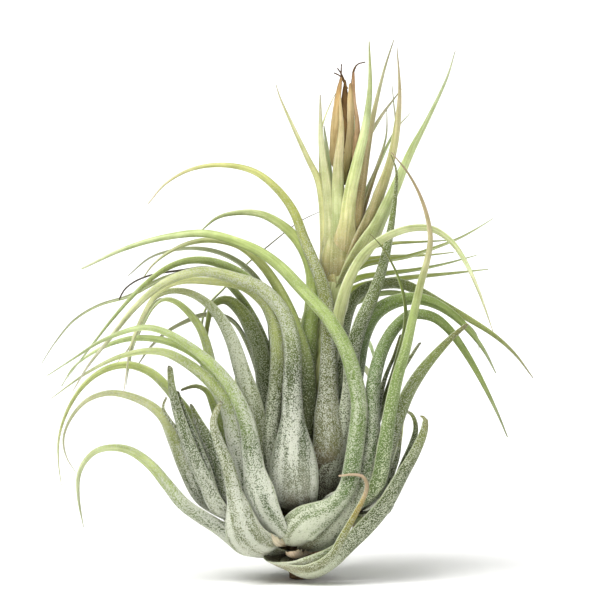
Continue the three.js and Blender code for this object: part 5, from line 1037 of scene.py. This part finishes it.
def make_leaf(leaf):
    skin = Skin()
    root = root_points(leaf["azimuth"], leaf["layer"]) if "azimuth" in leaf else []
    own = OWN_LOOKS.get(leaf["name"], leaf["tone"])
    look = look_for(own, dry=DRY_ENDS.get(leaf["name"]))
    if own == "fresh":
        look["inside"] = FRESH_INSIDE
    sweep_leaf(skin, leaf, root + leaf["rib"], look)
    dress(skin, "_blade", leaf["name"], leaf["tone"])


def make_shoot(shoot):
    skin = Skin()
    for leaf in shoot["leaves"]:
        sweep_leaf(skin, leaf, [shoot["bulb"], *leaf["rib"]], look_for("bud"))
    x, depth, height = shoot["bulb"]
    r = shoot["bulb_radius"]
    bulb = [(x, depth, height - r), (x, depth, height), (x, depth, height + r)]
    sweep_rod(skin, bulb, [share * r for share in BULB_PROFILE], SIDES["bulb"], look_for("short"))
    dress(skin, "_leaves", shoot["name"], shoot["tone"])


def make_spike():
    skin = Skin()
    sweep_rod(skin, SCAPE, SCAPE_RADII, SIDES["scape"], look_for("bract"), rough=0.01)
    for number, bract in enumerate(BRACTS):
        look = look_for(BRACT_LOOKS.get(number, "bract"), **BRACT_SKIN)
        sweep_leaf(skin, bract, bract["rib"], look)
    dress(skin, "_bracts", "flower_spike", "bract")


def make_flower():
    skin = Skin()
    for strip, tone in zip(FLOWER_STRIPS, STRIP_LOOKS):
        leaf = dict(STRIP_SHAPE, sheath=strip["width"], blade=strip["width"] * STRIP_TAPER)
        sweep_leaf(skin, leaf, strip["rib"], look_for(tone, **STRIP_SKIN))
    heights = np.linspace(FLOWER_CORE[0][1], FLOWER_CORE[-1][1], CORE_POINTS)
    radii = np.maximum(radii_at(FLOWER_CORE, heights), THINNEST_CORE)
    upright = [(*FLOWER_CENTRE, h) for h in heights]
    sweep_rod(skin, upright, radii, SIDES["core"], look_for("core"), rough=0.06)
    for thread in FLOWER_THREADS:
        look = look_for("flower", palette=THREAD_PALETTE)
        sweep_rod(skin, thread, THREAD_RADII, SIDES["thread"], look, rough=0.08, spacing=0.5)
    dress(skin, "_paper", "dry_flower", "dry")


def make_scale(scale, number):
    skin = Skin()
    leaf = dict(scale, neck=SCALE_NECK)
    sweep_leaf(skin, leaf, scale["rib"], look_for("scale", **SCALE_SKIN))
    dress(skin, "_paper", f"dry_scale_{number}", "dry")


def make_stem():
    """The stem, with the scars of old leaves winding round it."""
    skin = Skin()
    rng = np.random.default_rng(next(seeds))
    rows, sides = STEM_GRID
    heights = np.linspace(0, STEM_TOP, rows + 1)
    radii = radii_at(STEM_PROFILE, heights)
    a = np.linspace(0, 2 * np.pi, sides, endpoint=False)
    scars = SCAR_DEPTH * np.abs(np.sin(heights[:, None] * SCAR_PACE + a * 2))
    scars = scars + STEM_ROUGH * rng.normal(size=(rows + 1, sides))
    r = radii[:, None] - np.abs(scars)
    rings = np.stack([r * np.cos(a), r * np.sin(a), heights[:, None] + 0 * r], -1)
    ones = np.ones((rows + 1, sides))
    flow = np.stack([ones * a * radii.max(), ones * heights[:, None], ones], -1)
    skin.add_tube(rings, ones[..., None] * linear(STEM_BROWN), 0 * ones, flow)
    dress(skin, "_cork", "stem", "stem")


def make_scurf():
    """Loose flakes of scurf on the outer faces, thickest where the scurf is."""
    rng = np.random.default_rng(SCURF["seed"])
    spreads = [
        np.linalg.norm(rings[:, -1] - rings[:, 0], axis=1) * cover.mean(1)
        for rings, cover in outer_faces
    ]
    weights = [float(spread.sum()) for spread in spreads]
    points, faces = [], []
    made = 0
    for (rings, _), spread, part in zip(outer_faces, spreads, np.array(weights) / sum(weights)):
        count = int(round(SCURF["flakes"] * part))
        rows, columns, _ = rings.shape
        spread[-3:] = 0  # none on the very tip
        i = rng.choice(rows - 1, count, p=spread[:-1] / spread[:-1].sum())
        j = rng.integers(0, columns - 1, count)
        u, v = rng.random((2, count, 1))
        corner, beside, ahead = rings[i, j], rings[i, j + 1], rings[i + 1, j]
        place = blended(blended(corner, beside, u), blended(ahead, rings[i + 1, j + 1], u), v)
        side, along = unit(beside - corner), unit(ahead - corner)
        out = unit(np.cross(side, along))
        turn = rng.normal(0, SCURF["turn"], (count, 1))
        size = rng.uniform(*SCURF["size"], (count, 1))
        lift = np.radians(rng.uniform(*SCURF["lift"], (count, 1)))
        along, side = (
            along * np.cos(turn) + side * np.sin(turn), side * np.cos(turn) - along * np.sin(turn)
        )
        sink = out * SCURF["sink"]
        reach = side * size * SCURF["half_width"]
        tip = place + along * size * np.cos(lift) + out * size * np.sin(lift)
        crown = place + out * SCURF["crown"] + along * size * SCURF["crown_ahead"]
        left, right = place - reach - sink, place + reach - sink
        block = np.stack([left, right, tip, crown], 1).reshape(-1, 3)
        block[:, 2] = np.maximum(block[:, 2], 0)
        points.append(block)
        first = made + np.arange(count)[:, None] * 4
        faces += [first + np.array(f) for f in ((0, 1, 3), (1, 2, 3), (2, 0, 3), (0, 2, 1))]
        made += 4 * count
    points, faces = np.concatenate(points) * MM, np.concatenate(faces)
    piece = add_object("scurf", points.tolist(), faces.tolist(), scurf_material("scurf_flakes"))
    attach(piece, "root")


make_stem()
for number, scale in enumerate(SCALES, 1):
    make_scale(scale, number)
make_flower()
make_spike()
for leaf in LEAVES:
    make_leaf(leaf)
for shoot in SHOOTS:
    make_shoot(shoot)
make_scurf()

# ---- floor, light and camera, in metres ----
FLOOR_HALF = 8.0
FLOOR_TOP = -0.0003  # just under the scar
AIM_HEIGHT = 92.67  # millimetres, before the lean: the photograph's middle
DISTANCE = 3.0
FIELD = 0.2  # across the picture at the plant
SENSOR = 36.0  # millimetres

signs = ((-1, -1), (1, -1), (1, 1), (-1, 1))
corners = [(FLOOR_HALF * x, FLOOR_HALF * y, FLOOR_TOP) for x, y in signs]
floor = add_object("floor", corners, [(0, 1, 2, 3)], floor_material("floor"))

world = bpy.data.worlds.new("studio")
world.use_nodes = True
background = world.node_tree.nodes["Background"]
background.inputs["Color"].default_value = (1, 1, 1, 1)
background.inputs["Strength"].default_value = 0.44
scene.world = world


def soft_sun(name, place, strength, spread):
    """A distant light as wide as a softbox, so that the floor is lit evenly."""
    light = bpy.data.lights.new(name, "SUN")
    light.energy = strength
    light.angle = math.radians(spread)
    lamp = bpy.data.objects.new(name, light)
    lamp.rotation_euler = (-Vector(place)).to_track_quat("-Z", "Y").to_euler()
    scene.collection.objects.link(lamp)


soft_sun("key", (-0.6, -0.65, 1.4), 3.6, 42)
soft_sun("rim", (0.8, 0.5, 1.0), 0.45, 60)

aim = Vector(leaned([(0, 0, AIM_HEIGHT)])[0] * MM)
forward = Vector((0, math.cos(LEAN), -math.sin(LEAN)))
camera_data = bpy.data.cameras.new("camera")
camera_data.sensor_width = SENSOR
camera_data.lens = SENSOR * DISTANCE / FIELD
camera_data.clip_end = 50
camera = bpy.data.objects.new("camera", camera_data)
camera.location = aim - forward * DISTANCE
camera.rotation_euler = forward.to_track_quat("-Z", "Y").to_euler()
scene.collection.objects.link(camera)
scene.camera = camera
scene.view_settings.view_transform = "Standard"
